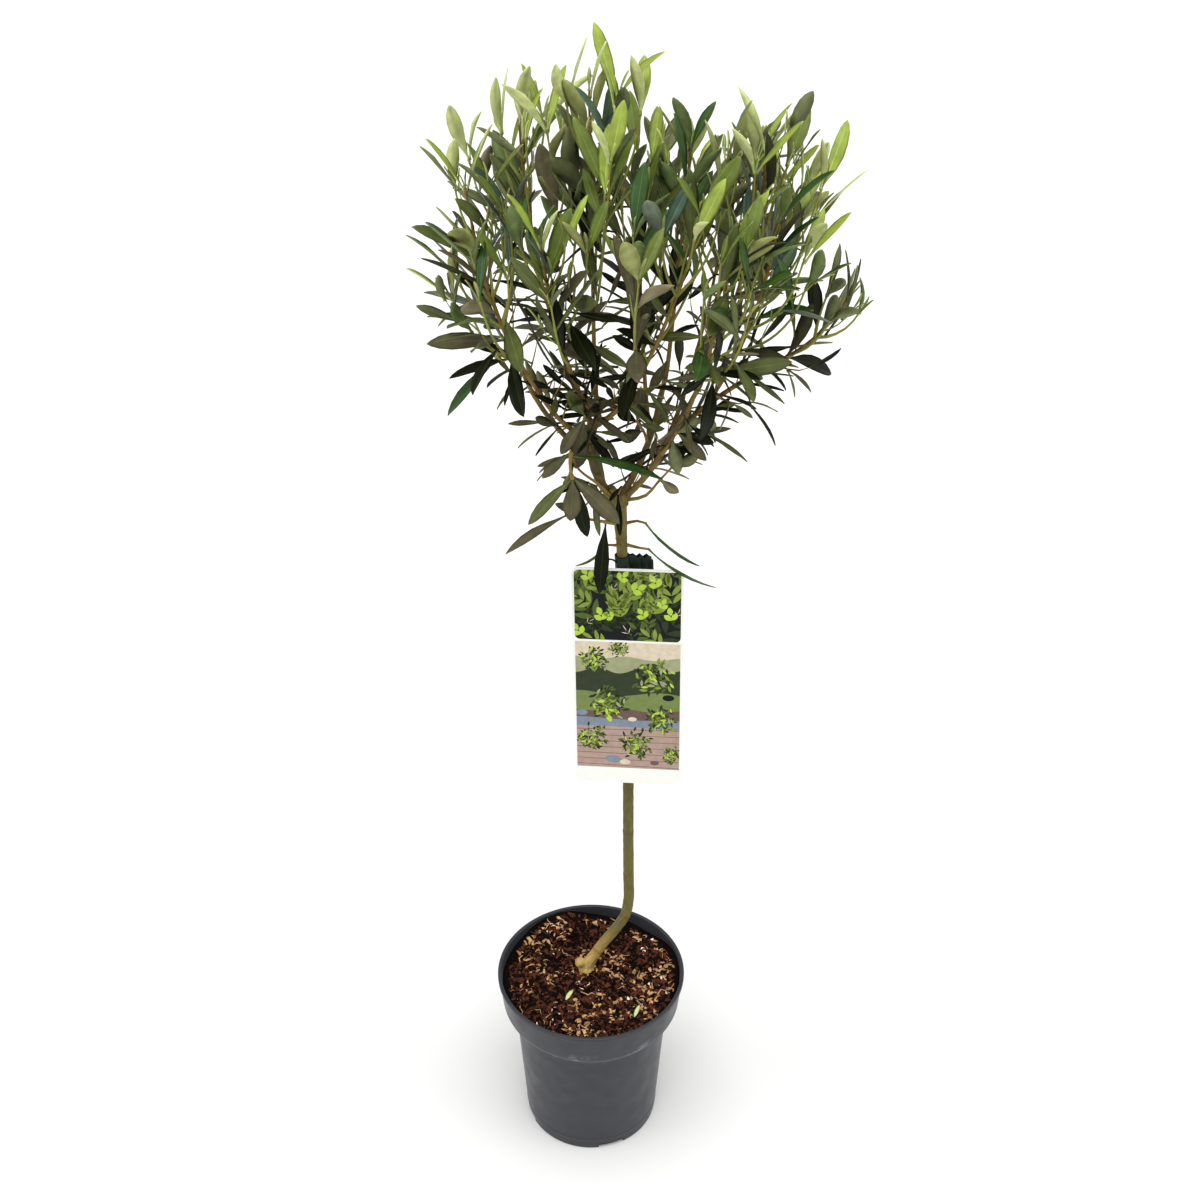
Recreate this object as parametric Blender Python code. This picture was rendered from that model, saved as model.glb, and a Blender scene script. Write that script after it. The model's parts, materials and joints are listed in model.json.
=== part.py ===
"""A potted olive tree, about 0.8 m tall, as closed solids in metres.

A young standard olive: a stem that leans over the pot and then rises straight,
three boughs with fifteen limbs, and masses of leafy twigs that each keep to
their own share of the crown. A card label hangs from a plastic band on the
stem. The origin is the middle of the pot's flat underside, +Z is up, and the
label faces -Y.
"""

from collections import namedtuple
from math import asin, atan2, ceil, cos, degrees, pi, radians, sin

import bmesh
import bpy
import numpy as np

UP = np.array((0.0, 0.0, 1.0))
GAP = 0.0003                      # clearance between neighbouring solids

# Pot: a turned nursery pot with a smooth band under its rim.
POT_HEIGHT = 0.140
POT_RIM_RADIUS = 0.070
POT_BAND_RADIUS = 0.0665          # foot of the smooth band
POT_BAND_HEIGHT = 0.113
POT_WALL_RADIUS = 0.0575          # tapered wall, where it meets the shoulder
POT_WALL_HEIGHT = 0.104
POT_BASE_RADIUS = 0.0504
POT_WALL = 0.0014
POT_FLOOR = 0.0020
POT_SIDES = 40
POT_SLOTS = 4                     # drain slots through the edge of the base
SLOT_AZIMUTH = -72.0              # of the first, in degrees
SLOT_WIDTH = 0.020
SLOT_HEIGHT = 0.0040
SLOT_DEPTH = 0.0060
SLOT_OVERSHOOT = 0.004            # of the cutter, outside and below the base
RIM_LIP = 0.0012
RIM_LIP_HEIGHT = 0.0030
RIM_ROUND = 0.0005
BASE_ROUND = 0.0010
INNER_STEP = 0.0006               # the inside's corners lie this much higher

# Soil: fills the pot, a little mounded round the stem.
SOIL_EDGE_HEIGHT = 0.1335         # a little heaped against the pot's wall
SOIL_TOP_HEIGHT = 0.1320
SOIL_FLAT_RADIUS = 0.035
SOIL_SIDES = 32
SOIL_INSET = POT_WALL + 2.1 * GAP  # from the pot's outer wall, to clear its flats

# Stem: (length, azimuth, first rise, last rise) of each stretch from the foot.
STEM_FOOT = np.array((-0.004, 0.009, SOIL_TOP_HEIGHT + GAP))
STEM_STRETCHES = (
    (0.042, 8.0, 64.0, 53.0),
    (0.034, 0.0, 53.0, 91.0),
    (0.100, 0.0, 91.0, 90.5),
    (0.236, 0.0, 90.5, 93.5),
)
STEM_STEP = 0.018
STEM_SIDES = 12
STEM_FLARE_DIA = 0.0108
STEM_FLARE_LENGTH = 0.012
STEM_LOW_DIA = 0.0080
STEM_TOP_DIA = 0.0072
STEM_HEAD_DIA = 0.0112            # swelling that the boughs leave from
STEM_HEAD_LENGTH = 0.012
STEM_END_DIA = 0.0096             # the head's rounded-off top
KNOB_SIZE = 0.0042                # round burl on the left of the foot
KNOB_HEIGHT = 0.007
KNOB_OUT = 0.0045                 # from the stem's axis
KNOB_AZIMUTH = 205.0

# Boughs and limbs: where each leaves its parent, how it rises, and its size.
Limb = namedtuple("Limb", "parent share azimuth first_rise last_rise length base_dia tip_dia")
LIMBS = {
    "bough_left": Limb("stem", 0.982, 187, 42, 114, 0.067, 0.0062, 0.0044),
    "bough_middle": Limb("stem", 0.990, 24, 52, 82, 0.070, 0.0046, 0.0036),
    "bough_right": Limb("stem", 0.984, -10, 45, 72, 0.068, 0.0044, 0.0036),
    "limb_top": Limb("bough_left", 0.97, 104, 68, 88, 0.044, 0.0036, 0.0028),
    "limb_front": Limb("bough_left", 0.88, -46, 34, 62, 0.052, 0.0036, 0.0028),
    "limb_left_front": Limb("bough_left", 0.72, 212, 34, 60, 0.050, 0.0034, 0.0028),
    "limb_left": Limb("bough_left", 0.54, 180, 38, 70, 0.072, 0.0038, 0.0028),
    "limb_back_left": Limb("bough_left", 0.86, 128, 38, 62, 0.050, 0.0034, 0.0026),
    "limb_back": Limb("bough_middle", 0.62, 96, 34, 60, 0.052, 0.0034, 0.0026),
    "limb_top_right": Limb("bough_middle", 0.97, 20, 74, 86, 0.034, 0.0034, 0.0028),
    "limb_right_top": Limb("bough_right", 0.97, 6, 58, 70, 0.046, 0.0034, 0.0028),
    "limb_far_right": Limb("bough_right", 0.86, -6, 48, 30, 0.080, 0.0036, 0.0026),
    "limb_right": Limb("limb_far_right", 0.34, -36, 58, 66, 0.040, 0.0030, 0.0024),
    "limb_front_right": Limb("bough_right", 0.90, -66, 44, 62, 0.044, 0.0034, 0.0026),
    "limb_back_right": Limb("bough_right", 0.62, 58, 40, 60, 0.058, 0.0034, 0.0026),
    "limb_middle": Limb("bough_left", 0.97, 232, 44, 66, 0.040, 0.0034, 0.0026),
}
LIMB_SIDES = 8
LIMB_STEPS = 5
LIMB_ROLL = 11.0                  # degrees that each is turned past the last

# Masses: each stem goes on from the tip of its limb, with side twigs on it.
Mass = namedtuple("Mass", "carrier last_rise length side_twigs droop seed")
MASSES = {
    "foliage_front": Mass("limb_front", 74, 0.120, 5, 0.10, 3),
    "foliage_top": Mass("limb_top", 86, 0.145, 6, 0.0, 5),
    "foliage_left_front": Mass("limb_left_front", 78, 0.105, 4, 0.12, 7),
    "foliage_left": Mass("limb_left", 84, 0.115, 5, 0.08, 11),
    "foliage_back_left": Mass("limb_back_left", 88, 0.140, 5, 0.08, 13),
    "foliage_back": Mass("limb_back", 86, 0.126, 5, 0.08, 17),
    "foliage_top_right": Mass("limb_top_right", 86, 0.120, 6, 0.0, 19),
    "foliage_right_top": Mass("limb_right_top", 87, 0.126, 7, 0.0, 23),
    "foliage_far_right": Mass("limb_far_right", 64, 0.056, 2, 0.25, 29),
    "foliage_right": Mass("limb_right", 84, 0.090, 5, 0.08, 31),
    "foliage_front_right": Mass("limb_front_right", 80, 0.110, 5, 0.12, 37),
    "foliage_back_right": Mass("limb_back_right", 84, 0.128, 6, 0.10, 41),
    "foliage_middle": Mass("limb_middle", 82, 0.090, 4, 0.12, 61),
}
# Sprays low round the fork, each leaf in its own place: the twigs' points, the
# first twig from its carrier, and (twig, share of it, azimuth, rise, length,
# width, turn, curl) of each leaf, turned about its length from face up.
Spray = namedtuple("Spray", "carrier share twigs leaves")
SPRAYS = {
    "foliage_low_left": Spray("stem", 0.984, (
        ((0.0056, 0.0040, 0.5458), (-0.0071, -0.0060, 0.5623), (-0.0111, -0.0120, 0.5765)),
        ((-0.0105, -0.0115, 0.5743), (-0.0110, -0.0190, 0.5694), (-0.0092, -0.0260, 0.5636)),
    ), (
        (1, 0.97, -93, -67, 0.025, 0.0115, -4, 0.06),
        (1, 0.94, -165, -41, 0.039, 0.0085, -37, 0.10),
        (1, 0.91, -23, -36, 0.039, 0.0115, 40, 0.10),
        (1, 0.88, 39, -78, 0.048, 0.0095, 122, 0.05),
        (1, 0.81, 43, -51, 0.024, 0.0080, 125, 0.05),
        (1, 0.66, 103, -59, 0.024, 0.0080, -13, 0.05),
        (1, 0.09, -17, 0, 0.056, 0.0085, 9, 0.16),
        (0, 0.97, -150, -30, 0.023, 0.0075, -23, 0.08),
    )),
    "foliage_hanging": Spray("stem", 0.945, (
        ((0.0068, 0.0000, 0.5221), (-0.0037, -0.0080, 0.5285), (-0.0139, -0.0140, 0.5345)),
    ), (
        (0, 0.97, -168, -26, 0.046, 0.0075, -26, 0.10),
        (0, 0.30, -103, -66, 0.046, 0.0095, -1, 0.06),
        (0, 0.64, 155, 19, 0.023, 0.0070, -25, 0.08),
    )),
    "foliage_sprout_left": Spray("stem", 0.908, (
        ((0.0144, 0.0060, 0.5017), (0.0106, 0.0030, 0.5034)),
    ), (
        (0, 0.97, -141, -42, 0.022, 0.0055, -124, 0.34),
    )),
    "foliage_sprout_right": Spray("stem", 0.944, (
        ((0.0307, 0.0100, 0.5168), (0.0351, 0.0080, 0.5164)),
    ), (
        (0, 0.97, -23, -46, 0.044, 0.0055, 124, 0.22),
    )),
    "foliage_sprout_low": Spray("stem", 0.912, (
        ((0.0321, 0.0060, 0.4996), (0.0371, 0.0030, 0.5005)),
    ), (
        (0, 0.97, -29, -33, 0.048, 0.0060, 116, 0.24),
    )),
    "foliage_low_right": Spray("stem", 0.986, (
        ((0.0348, 0.0080, 0.5355), (0.0431, 0.0040, 0.5479), (0.0518, 0.0000, 0.5607)),
    ), (
        (0, 0.71, -30, -32, 0.014, 0.0070, -147, 0.06),
        (0, 0.97, -20, 36, 0.021, 0.0100, -133, 0.05),
        (0, 0.93, 50, 47, 0.020, 0.0080, 53, 0.05),
    )),
    "foliage_low_side": Spray("bough_right", 0.620, (
        ((0.0500, -0.0040, 0.5793), (0.0525, -0.0100, 0.5880)),
    ), (
        (0, 0.71, -67, -73, 0.021, 0.0090, -172, 0.08),
        (0, 0.97, -19, -39, 0.025, 0.0070, 71, 0.08),
        (0, 0.94, 13, -22, 0.027, 0.0075, 52, 0.06),
        (0, 0.91, -37, 39, 0.023, 0.0080, -119, 0.06),
    )),
    "foliage_low_middle": Spray("bough_middle", 0.560, (
        ((0.0334, 0.0060, 0.5799), (0.0283, -0.0020, 0.5915)),
    ), (
        (0, 0.63, -154, -13, 0.015, 0.0085, 112, 0.05),
        (0, 0.95, 56, 76, 0.020, 0.0090, 30, 0.05),
        (0, 0.84, -36, 6, 0.017, 0.0070, 96, 0.08),
        (0, 0.92, 147, 14, 0.015, 0.0070, -37, 0.06),
    )),
    "foliage_low_front": Spray("bough_left", 0.600, (
        ((-0.0034, 0.0000, 0.5840), (-0.0021, -0.0080, 0.5974)),
    ), (
        (0, 0.93, 115, -74, 0.044, 0.0115, -151, 0.04),
        (0, 0.65, -17, -45, 0.030, 0.0070, 31, 0.06),
        (0, 0.97, -140, 57, 0.022, 0.0090, -100, 0.05),
        (0, 0.90, 170, -58, 0.030, 0.0080, -71, 0.08),
        (0, 0.87, -25, 51, 0.022, 0.0080, -106, 0.05),
    )),
}
MASS_STEPS = 7                    # straight pieces in a mass's stem
MAIN_TWIG_RADII = (0.0013, 0.0008)
SIDE_TWIG_RADII = (0.0010, 0.0007)
TWIG_SIDES = 3
TWIG_ROLL = 37.0
SIDE_TWIG_SHARES = (0.05, 0.81)   # the stretch of the stem that bears them
SIDE_TWIG_LENGTHS = (0.55, 0.85)  # shares of the stem that is left above
SIDE_TWIG_EXTRA = 0.010
SIDE_TWIG_OPENING = 44.0
SIDE_TWIG_SCATTER = 25.0          # degrees round the stem
SIDE_TWIG_DOUBLES = 0.5           # chance of one on each side
SIDE_TWIG_GOAL = (0.5, 1.3)       # how far it follows the stem, and droops
SIDE_TWIG_BEND = 0.9
SIDE_TWIG_STEPS = 3
SIDE_TWIG_CLEARANCE = 0.0025      # of limbs
TURN_TRIES = (0.0, 24.0, 48.0, 72.0, 96.0, 120.0)
LEAF_SPACING = 0.0205             # between pairs along a twig
LEAF_STRETCH = (0.08, 0.22, 0.97)  # first on a stem, first on a side twig, last
LEAF_LENGTHS = (0.038, 0.055)
LEAF_TIP_LOSS = 0.22              # share of its length that the last leaf lacks
LEAF_SHADE_LOSS = 0.20            # and that one in full shade lacks
LEAF_ASPECTS = (0.21, 0.28)       # width over length
LEAF_FACING = 0.9                 # how far a blade rolls to show a broad side
LEAF_LIGHT_RISE = 0.5             # to the light, out of the crown and this far up
LEAF_OPENINGS = (38.0, 64.0)      # degrees off the twig
LEAF_TIP_CLOSING = 0.45           # share of the opening that the last pair lacks
LEAF_SCATTER = 14.0               # degrees round the twig
LEAF_ROLL = 16.0                  # degrees about its own length
LEAF_CURLS = (-0.02, 0.12)        # drop of the tip over the length
LEAF_WIDEST = 0.52                # share of the length where it is widest
LEAF_SPREAD = 0.6                 # half width there, as a share of the width
LEAF_TEST_PLACES = ((0.25, 0.0), (0.5, 0.5), (0.5, -0.5), (0.78, 0.3), (0.78, -0.3), (1.0, 0.0))
LEAF_THICKNESS = 0.0010
LEAF_CLEARANCE = 0.0012           # of limbs
LEAF_ROOT = 0.00012               # from its twig's middle, so well sunk
LEAF_TRIES = (0.0, 28.0, -28.0, 56.0, -56.0)
LEAF_LOSS = (0.12, 0.18)          # always, and more at a twig's foot
DROOP_SCATTER = (0.5, 1.2)
DROOP_TIP_LOSS = 0.6              # share of the droop that the last pair lacks
SHADE_HEIGHTS = (0.60, 0.75)      # leaves droop below, are young above
SHADE_DROOP = 0.40
CELL_MARGIN = 0.0008              # each mass keeps this far inside its space

# Crown: the outline that twigs and leaves keep inside, about its own axis.
CROWN_X, CROWN_Y = 0.030, 0.006
CROWN_HEIGHTS = (0.44, 0.50, 0.545, 0.58, 0.62, 0.66, 0.70, 0.74, 0.77, 0.795, 0.812)
CROWN_RADII = (0.030, 0.085, 0.098, 0.110, 0.122, 0.130, 0.134, 0.134, 0.126, 0.100, 0.044)

# Label: a card, hung in front of the stem from a flat plastic band.
BAND_TOP = 0.4950
BAND_BOTTOM = 0.4800
BAND_THICKNESS = 0.0009
BAND_CLEARANCE = 0.00048          # of the stem, more than GAP for its flats
BAND_STEPS = 20
BAND_TAIL = 0.0150                # two tails, folded back to the right
BAND_TAIL_STEP = 0.0020           # the second is shorter
BAND_TAIL_APART = 0.0018
CARD_WIDTH = 0.0728
CARD_HEIGHT = 0.160
CARD_THICKNESS = 0.0007
CARD_CORNER = 0.0050
CARD_CORNER_STEPS = 5
CARD_ASIDE = 0.0037               # its middle, to the right of the stem
CARD_TOP = 0.4845
CARD_YAW = 6.3                    # degrees, the right edge nearer
CARD_LEAN = 6.0                   # degrees, the foot nearer
CARD_ROLL = -1.3                  # degrees clockwise, seen from the front
LABEL_CLEARANCE = 0.003           # of leaves, beside and before the card
BAND_DEPTH = 0.016                # of leaves, behind the card's back

MATERIALS = {                     # colour, roughness
    "bark": ((0.26, 0.19, 0.09), 0.80),
    "leaf": ((0.10, 0.14, 0.06), 0.55),
    "pot_plastic": ((0.06, 0.065, 0.07), 0.50),
    "soil": ((0.04, 0.022, 0.014), 0.95),
    "label_card": ((0.35, 0.45, 0.25), 0.40),
    "band_plastic": ((0.02, 0.05, 0.035), 0.45),
}


# ---------------------------------------------------------------- directions

def unit(vector):
    return vector / np.linalg.norm(vector)


def heading(azimuth, rise):
    """The direction at an azimuth from +X and a rise from level, in degrees."""
    a, r = radians(azimuth), radians(rise)
    return np.array((cos(a) * cos(r), sin(a) * cos(r), sin(r)))


def turned(vector, axis, angle):
    """The vector turned about a unit axis by an angle in degrees."""
    t = radians(angle)
    return vector * cos(t) + np.cross(axis, vector) * sin(t) + axis * np.dot(axis, vector) * (1 - cos(t))


def square_to(direction):
    """A unit vector square to a direction, level where that is possible."""
    side = np.cross(direction, UP)
    if np.linalg.norm(side) < 0.05:
        side = np.cross(direction, np.array((0.0, 1.0, 0.0)))
    return unit(side)


# --------------------------------------------------------------------- paths

def rising_path(start, azimuth, first_rise, last_rise, length, steps):
    """Points from start, with the rise going evenly from first to last."""
    points = [np.asarray(start, float)]
    for k in range(steps):
        rise = first_rise + (last_rise - first_rise) * (k + 0.5) / steps
        points.append(points[-1] + heading(azimuth, rise) * length / steps)
    return np.array(points)


def bending_path(start, direction, goal, bend, length, steps):
    """Points that set off in a direction and turn toward a goal direction."""
    points = [np.asarray(start, float)]
    for k in range(steps):
        way = unit(direction + (goal - direction) * bend * (k + 0.5) / steps)
        points.append(points[-1] + way * length / steps)
    return np.array(points)


def run_lengths(path):
    """How far along the path each of its points lies."""
    return np.concatenate(([0.0], np.cumsum(np.linalg.norm(np.diff(path, axis=0), axis=1))))


def along_path(path, share):
    """The point at a share of the path's length, and the path's way there."""
    runs = run_lengths(path)
    here = share * runs[-1]
    point = np.array([np.interp(here, runs, path[:, k]) for k in range(3)])
    after = int(np.clip(np.searchsorted(runs, here), 1, len(path) - 1))
    return point, unit(path[after] - path[after - 1])


def distances(points, starts, ends):
    """The distance from each point to each straight piece, as a table."""
    run = ends - starts
    share = np.einsum("pij,ij->pi", points[:, None] - starts, run) / np.einsum("ij,ij->i", run, run)
    nearest = starts + run * np.clip(share, 0.0, 1.0)[..., None]
    return np.linalg.norm(points[:, None] - nearest, axis=2)


# ---------------------------------------------------------------- growth rule

Twig = namedtuple("Twig", "path radii")
Leaf = namedtuple("Leaf", "root along face length width curl")


def stem_path():
    path = STEM_FOOT[None]
    for length, azimuth, first_rise, last_rise in STEM_STRETCHES:
        steps = ceil(length / STEM_STEP)
        stretch = rising_path(path[-1], azimuth, first_rise, last_rise, length, steps)
        path = np.vstack((path, stretch[1:]))
    return path


def stem_radii(path):
    """The stem's radius at each point: flare, slow taper, swollen head."""
    runs = run_lengths(path)
    total = runs[-1]
    places = (0.0, STEM_FLARE_LENGTH, total - STEM_HEAD_LENGTH * 2, total - STEM_HEAD_LENGTH * 0.6, total)
    sizes = (STEM_FLARE_DIA, STEM_LOW_DIA, STEM_TOP_DIA, STEM_HEAD_DIA, STEM_END_DIA)
    return np.interp(runs, places, sizes) / 2


def limb_paths():
    """The path and radii of the stem and of every limb, by name."""
    stem = stem_path()
    made = {"stem": (stem, stem_radii(stem))}
    for name, limb in LIMBS.items():
        start, _ = along_path(made[limb.parent][0], limb.share)
        path = rising_path(start, limb.azimuth, limb.first_rise, limb.last_rise, limb.length, LIMB_STEPS)
        radii = np.linspace(limb.base_dia, limb.tip_dia, len(path)) / 2
        made[name] = (path, radii)
    return made


def mass_stem(mass, limbs):
    """The path of a mass's own stem, from its limb's tip."""
    carrier = limbs[mass.carrier][0]
    way = unit(carrier[-1] - carrier[-2])
    azimuth = degrees(atan2(way[1], way[0]))
    first_rise = degrees(asin(way[2]))
    return rising_path(carrier[-1] + way * GAP, azimuth, first_rise, mass.last_rise, mass.length, MASS_STEPS)


def placed_twigs(spray, limbs):
    """The paths of a placed spray's twigs, the first out of its carrier."""
    start, _ = along_path(limbs[spray.carrier][0], spray.share)
    return [np.vstack((start, spray.twigs[0]))] + [np.array(points) for points in spray.twigs[1:]]


def placed_leaves(spray, twigs):
    """The leaves of a placed spray, on the paths of its twigs."""
    leaves = []
    for order, share, azimuth, rise, length, width, turn, curl in spray.leaves:
        along = heading(azimuth, rise)
        root = along_path(twigs[order], share)[0] + along * LEAF_ROOT
        face = turned(unit(UP - along * along[2]), along, turn)
        leaves.append(Leaf(root, along, face, length, width, curl))
    return leaves


def crown_spines(limbs):
    """The straight pieces that each mass and spray is grouped about."""
    spines = {}
    for name, mass in MASSES.items():
        path = mass_stem(mass, limbs)
        spines[name] = (path[:-1], path[1:])
    for name, spray in SPRAYS.items():
        paths = placed_twigs(spray, limbs)
        leaves = placed_leaves(spray, paths)
        paths += [leaf_points(leaf, ((0.0, 0.0), (0.5, 0.0), (1.0, 0.0))) for leaf in leaves]
        spines[name] = (np.vstack([p[:-1] for p in paths]), np.vstack([p[1:] for p in paths]))
    return spines


class Space:
    """The share of the crown that belongs to one mass.

    It is what lies nearer to the mass's own stem than to any other mass's or
    spray's, inside the crown's outline and clear of the limbs and the label.
    """

    def __init__(self, name, spines, limbs):
        self.own = spines[name]
        others = [spine for other, spine in spines.items() if other != name]
        self.others = (np.vstack([starts for starts, _ in others]), np.vstack([ends for _, ends in others]))
        starts = np.vstack([path[:-1] for path, _ in limbs.values()])
        ends = np.vstack([path[1:] for path, _ in limbs.values()])
        self.limbs = (starts, ends)
        self.limb_radii = np.concatenate([radii[:-1] for _, radii in limbs.values()])
        self.card = card_frame()

    def open(self, points):
        """Whether every point is inside the crown's outline and off the label."""
        from_axis = np.hypot(points[:, 0] - CROWN_X, points[:, 1] - CROWN_Y)
        if (from_axis > np.interp(points[:, 2], CROWN_HEIGHTS, CROWN_RADII, right=0.0)).any():
            return False
        top, across, down, out = self.card
        aside, below, before = (points - top) @ across, (points - top) @ down, (points - top) @ out
        beside = abs(aside) < CARD_WIDTH / 2 + LABEL_CLEARANCE
        level = (below > CARD_TOP - BAND_TOP - LABEL_CLEARANCE) & (below < CARD_HEIGHT + LABEL_CLEARANCE)
        near = (before > -BAND_DEPTH - LABEL_CLEARANCE) & (before < LABEL_CLEARANCE)
        return not (beside & level & near).any()

    def holds(self, points, clear):
        """Whether every point is in the space and clear of what it must miss."""
        if not self.open(points):
            return False
        own = distances(points, *self.own).min(axis=1)
        if (distances(points, *self.others).min(axis=1) < own + 2 * CELL_MARGIN).any():
            return False
        return bool((distances(points, *self.limbs) > self.limb_radii + clear).all())


def leaf_points(leaf, places):
    """Points on a leaf, at shares of its length and of its width."""
    side = np.cross(leaf.face, leaf.along)
    drop = leaf.face * leaf.curl * leaf.length
    return np.array([
        leaf.root + leaf.along * leaf.length * a + side * leaf.width * b - drop * a * a for a, b in places
    ])


def leaf_tests(leaf):
    """Points on a leaf's outline that have to lie in its mass's space."""
    return leaf_points(leaf, LEAF_TEST_PLACES)


def leaf_frame(leaf):
    """The straight edges and the two halves that stand for a leaf's blade."""
    places = ((0.12, 0.0), (LEAF_WIDEST, LEAF_SPREAD), (1.02, 0.0), (LEAF_WIDEST, -LEAF_SPREAD))
    root, left, tip, right = leaf_points(leaf, places)
    edges = np.array(((root, tip), (root, left), (left, tip), (root, right), (right, tip), (left, right)))
    halves = np.array(((root, left, tip), (root, tip, right)))
    return edges, halves


def pierces(edges, triangles):
    """Whether any straight edge passes through any triangle."""
    start = edges[:, None, 0]
    run = edges[:, None, 1] - start
    corner = triangles[None, :, 0]
    first = triangles[None, :, 1] - corner
    second = triangles[None, :, 2] - corner
    across = np.cross(run, second)
    size = np.sum(first * across, axis=2)
    size = np.where(abs(size) < 1e-15, 1e-15, size)
    offset = start - corner
    u = np.sum(offset * across, axis=2) / size
    turn = np.cross(offset, first)
    v = np.sum(run * turn, axis=2) / size
    t = np.sum(second * turn, axis=2) / size
    return bool(((u > 0) & (v > 0) & (u + v < 1) & (t > 0) & (t < 1)).any())


class Blades:
    """The leaves that a mass has so far, which a new one must not cross."""

    def __init__(self, twigs):
        runs = [(twig.path[k], twig.path[k + 1]) for twig in twigs for k in range(len(twig.path) - 1)]
        self.twigs = np.array(runs)
        self.edges = np.empty((0, 2, 3))
        self.halves = np.empty((0, 3, 3))

    def cross(self, leaf):
        edges, halves = leaf_frame(leaf)
        if pierces(self.twigs, halves):
            return True
        return len(self.edges) > 0 and (pierces(edges, self.halves) or pierces(self.edges, halves))

    def add(self, leaf):
        edges, halves = leaf_frame(leaf)
        self.edges = np.concatenate((self.edges, edges))
        self.halves = np.concatenate((self.halves, halves))


def new_leaf(root, way, out, opening, length, droop, rng):
    """A leaf that leaves a twig at an opening angle, upper side to the tip."""
    along = unit(way * cos(radians(opening)) + out * sin(radians(opening)))
    along = unit(along - UP * droop * rng.uniform(*DROOP_SCATTER))
    face = way - along * np.dot(way, along)
    if np.linalg.norm(face) < 0.15:
        face = UP - along * along[2]
    lit = np.array((root[0] - CROWN_X, root[1] - CROWN_Y, 0.0))
    lit = unit(lit) + UP * LEAF_LIGHT_RISE
    lit = unit(lit - along * np.dot(lit, along))
    if np.dot(lit, face) < 0:
        lit = -lit
    face = unit(unit(face) + lit * LEAF_FACING)
    face = turned(face, along, rng.normal(0.0, LEAF_ROLL))
    width = length * rng.uniform(*LEAF_ASPECTS)
    return Leaf(root, along, face, length, width, rng.uniform(*LEAF_CURLS))


def grow_twigs(mass, stem, space, rng):
    """The mass's stem and the side twigs that find room beside it."""
    twigs = [Twig(stem, MAIN_TWIG_RADII)]
    roll = rng.uniform(0.0, 360.0)
    low, high = SIDE_TWIG_SHARES
    for k in range(mass.side_twigs):
        share = low + (high - low) * (k + rng.uniform(0.0, 0.5)) / mass.side_twigs
        point, way = along_path(stem, share)
        goal = unit(way * SIDE_TWIG_GOAL[0] + UP * (1.0 - SIDE_TWIG_GOAL[1] * mass.droop))
        for side in range(1 + (rng.uniform() < SIDE_TWIG_DOUBLES)):
            length = mass.length * (1 - share) * rng.uniform(*SIDE_TWIG_LENGTHS) + SIDE_TWIG_EXTRA
            for aside in TURN_TRIES:
                scatter = rng.uniform(-SIDE_TWIG_SCATTER, SIDE_TWIG_SCATTER)
                turn = roll + 90.0 * k + 180.0 * side + scatter + aside
                out = turned(square_to(way), way, turn)
                opening = radians(SIDE_TWIG_OPENING)
                setting_off = unit(way * cos(opening) + out * sin(opening))
                path = bending_path(point, setting_off, goal, SIDE_TWIG_BEND, length, SIDE_TWIG_STEPS)
                if space.holds(path[1:], SIDE_TWIG_CLEARANCE):
                    twigs.append(Twig(path, SIDE_TWIG_RADII))
                    break
    return twigs


def grow_leaves(mass, twigs, space, rng):
    """Leaves in crossed pairs up each twig, left out where there is no room."""
    leaves = []
    blades = Blades(twigs)
    for order, twig in enumerate(twigs):
        first = LEAF_STRETCH[1] if order else LEAF_STRETCH[0]
        pairs = max(1, int(run_lengths(twig.path)[-1] / LEAF_SPACING))
        roll = rng.uniform(0.0, 180.0)
        for k in range(pairs + 1):
            tipness = k / pairs
            point, way = along_path(twig.path, first + (LEAF_STRETCH[2] - first) * tipness)
            light = float(np.interp(point[2], SHADE_HEIGHTS, (0.0, 1.0)))
            droop = mass.droop * (1 - DROOP_TIP_LOSS * tipness) + SHADE_DROOP * (1 - light) * (1 - tipness)
            for flip in (0.0, 180.0):
                if rng.uniform() < LEAF_LOSS[0] + LEAF_LOSS[1] * (1 - tipness):
                    continue
                length = rng.uniform(*LEAF_LENGTHS) * (1 - LEAF_TIP_LOSS * tipness ** 3)
                length *= 1 - LEAF_SHADE_LOSS * (1 - light)
                for aside in LEAF_TRIES:
                    turn = roll + 90.0 * k + flip + rng.uniform(-LEAF_SCATTER, LEAF_SCATTER) + aside
                    out = turned(square_to(way), way, turn)
                    opening = rng.uniform(*LEAF_OPENINGS) * (1 - LEAF_TIP_CLOSING * tipness)
                    leaf = new_leaf(point + out * LEAF_ROOT, way, out, opening, length, droop, rng)
                    if space.holds(leaf_tests(leaf), LEAF_CLEARANCE) and not blades.cross(leaf):
                        leaves.append(leaf)
                        blades.add(leaf)
                        break
    return leaves


def grow(name, spines, limbs):
    """The twigs and leaves of one mass, always the same for its seed."""
    mass = MASSES[name]
    rng = np.random.default_rng(mass.seed)
    space = Space(name, spines, limbs)
    twigs = grow_twigs(mass, mass_stem(mass, limbs), space, rng)
    return twigs, grow_leaves(mass, twigs, space, rng)


# --------------------------------------------------------------------- label

def stem_at(height):
    """The stem's axis at a height."""
    path = stem_path()
    return np.array([np.interp(height, path[:, 2], path[:, k]) for k in range(3)])


def strap_radius():
    """The radius of the loop that the middle of the strap makes."""
    return STEM_TOP_DIA / 2 + BAND_CLEARANCE + BAND_THICKNESS / 2


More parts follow.
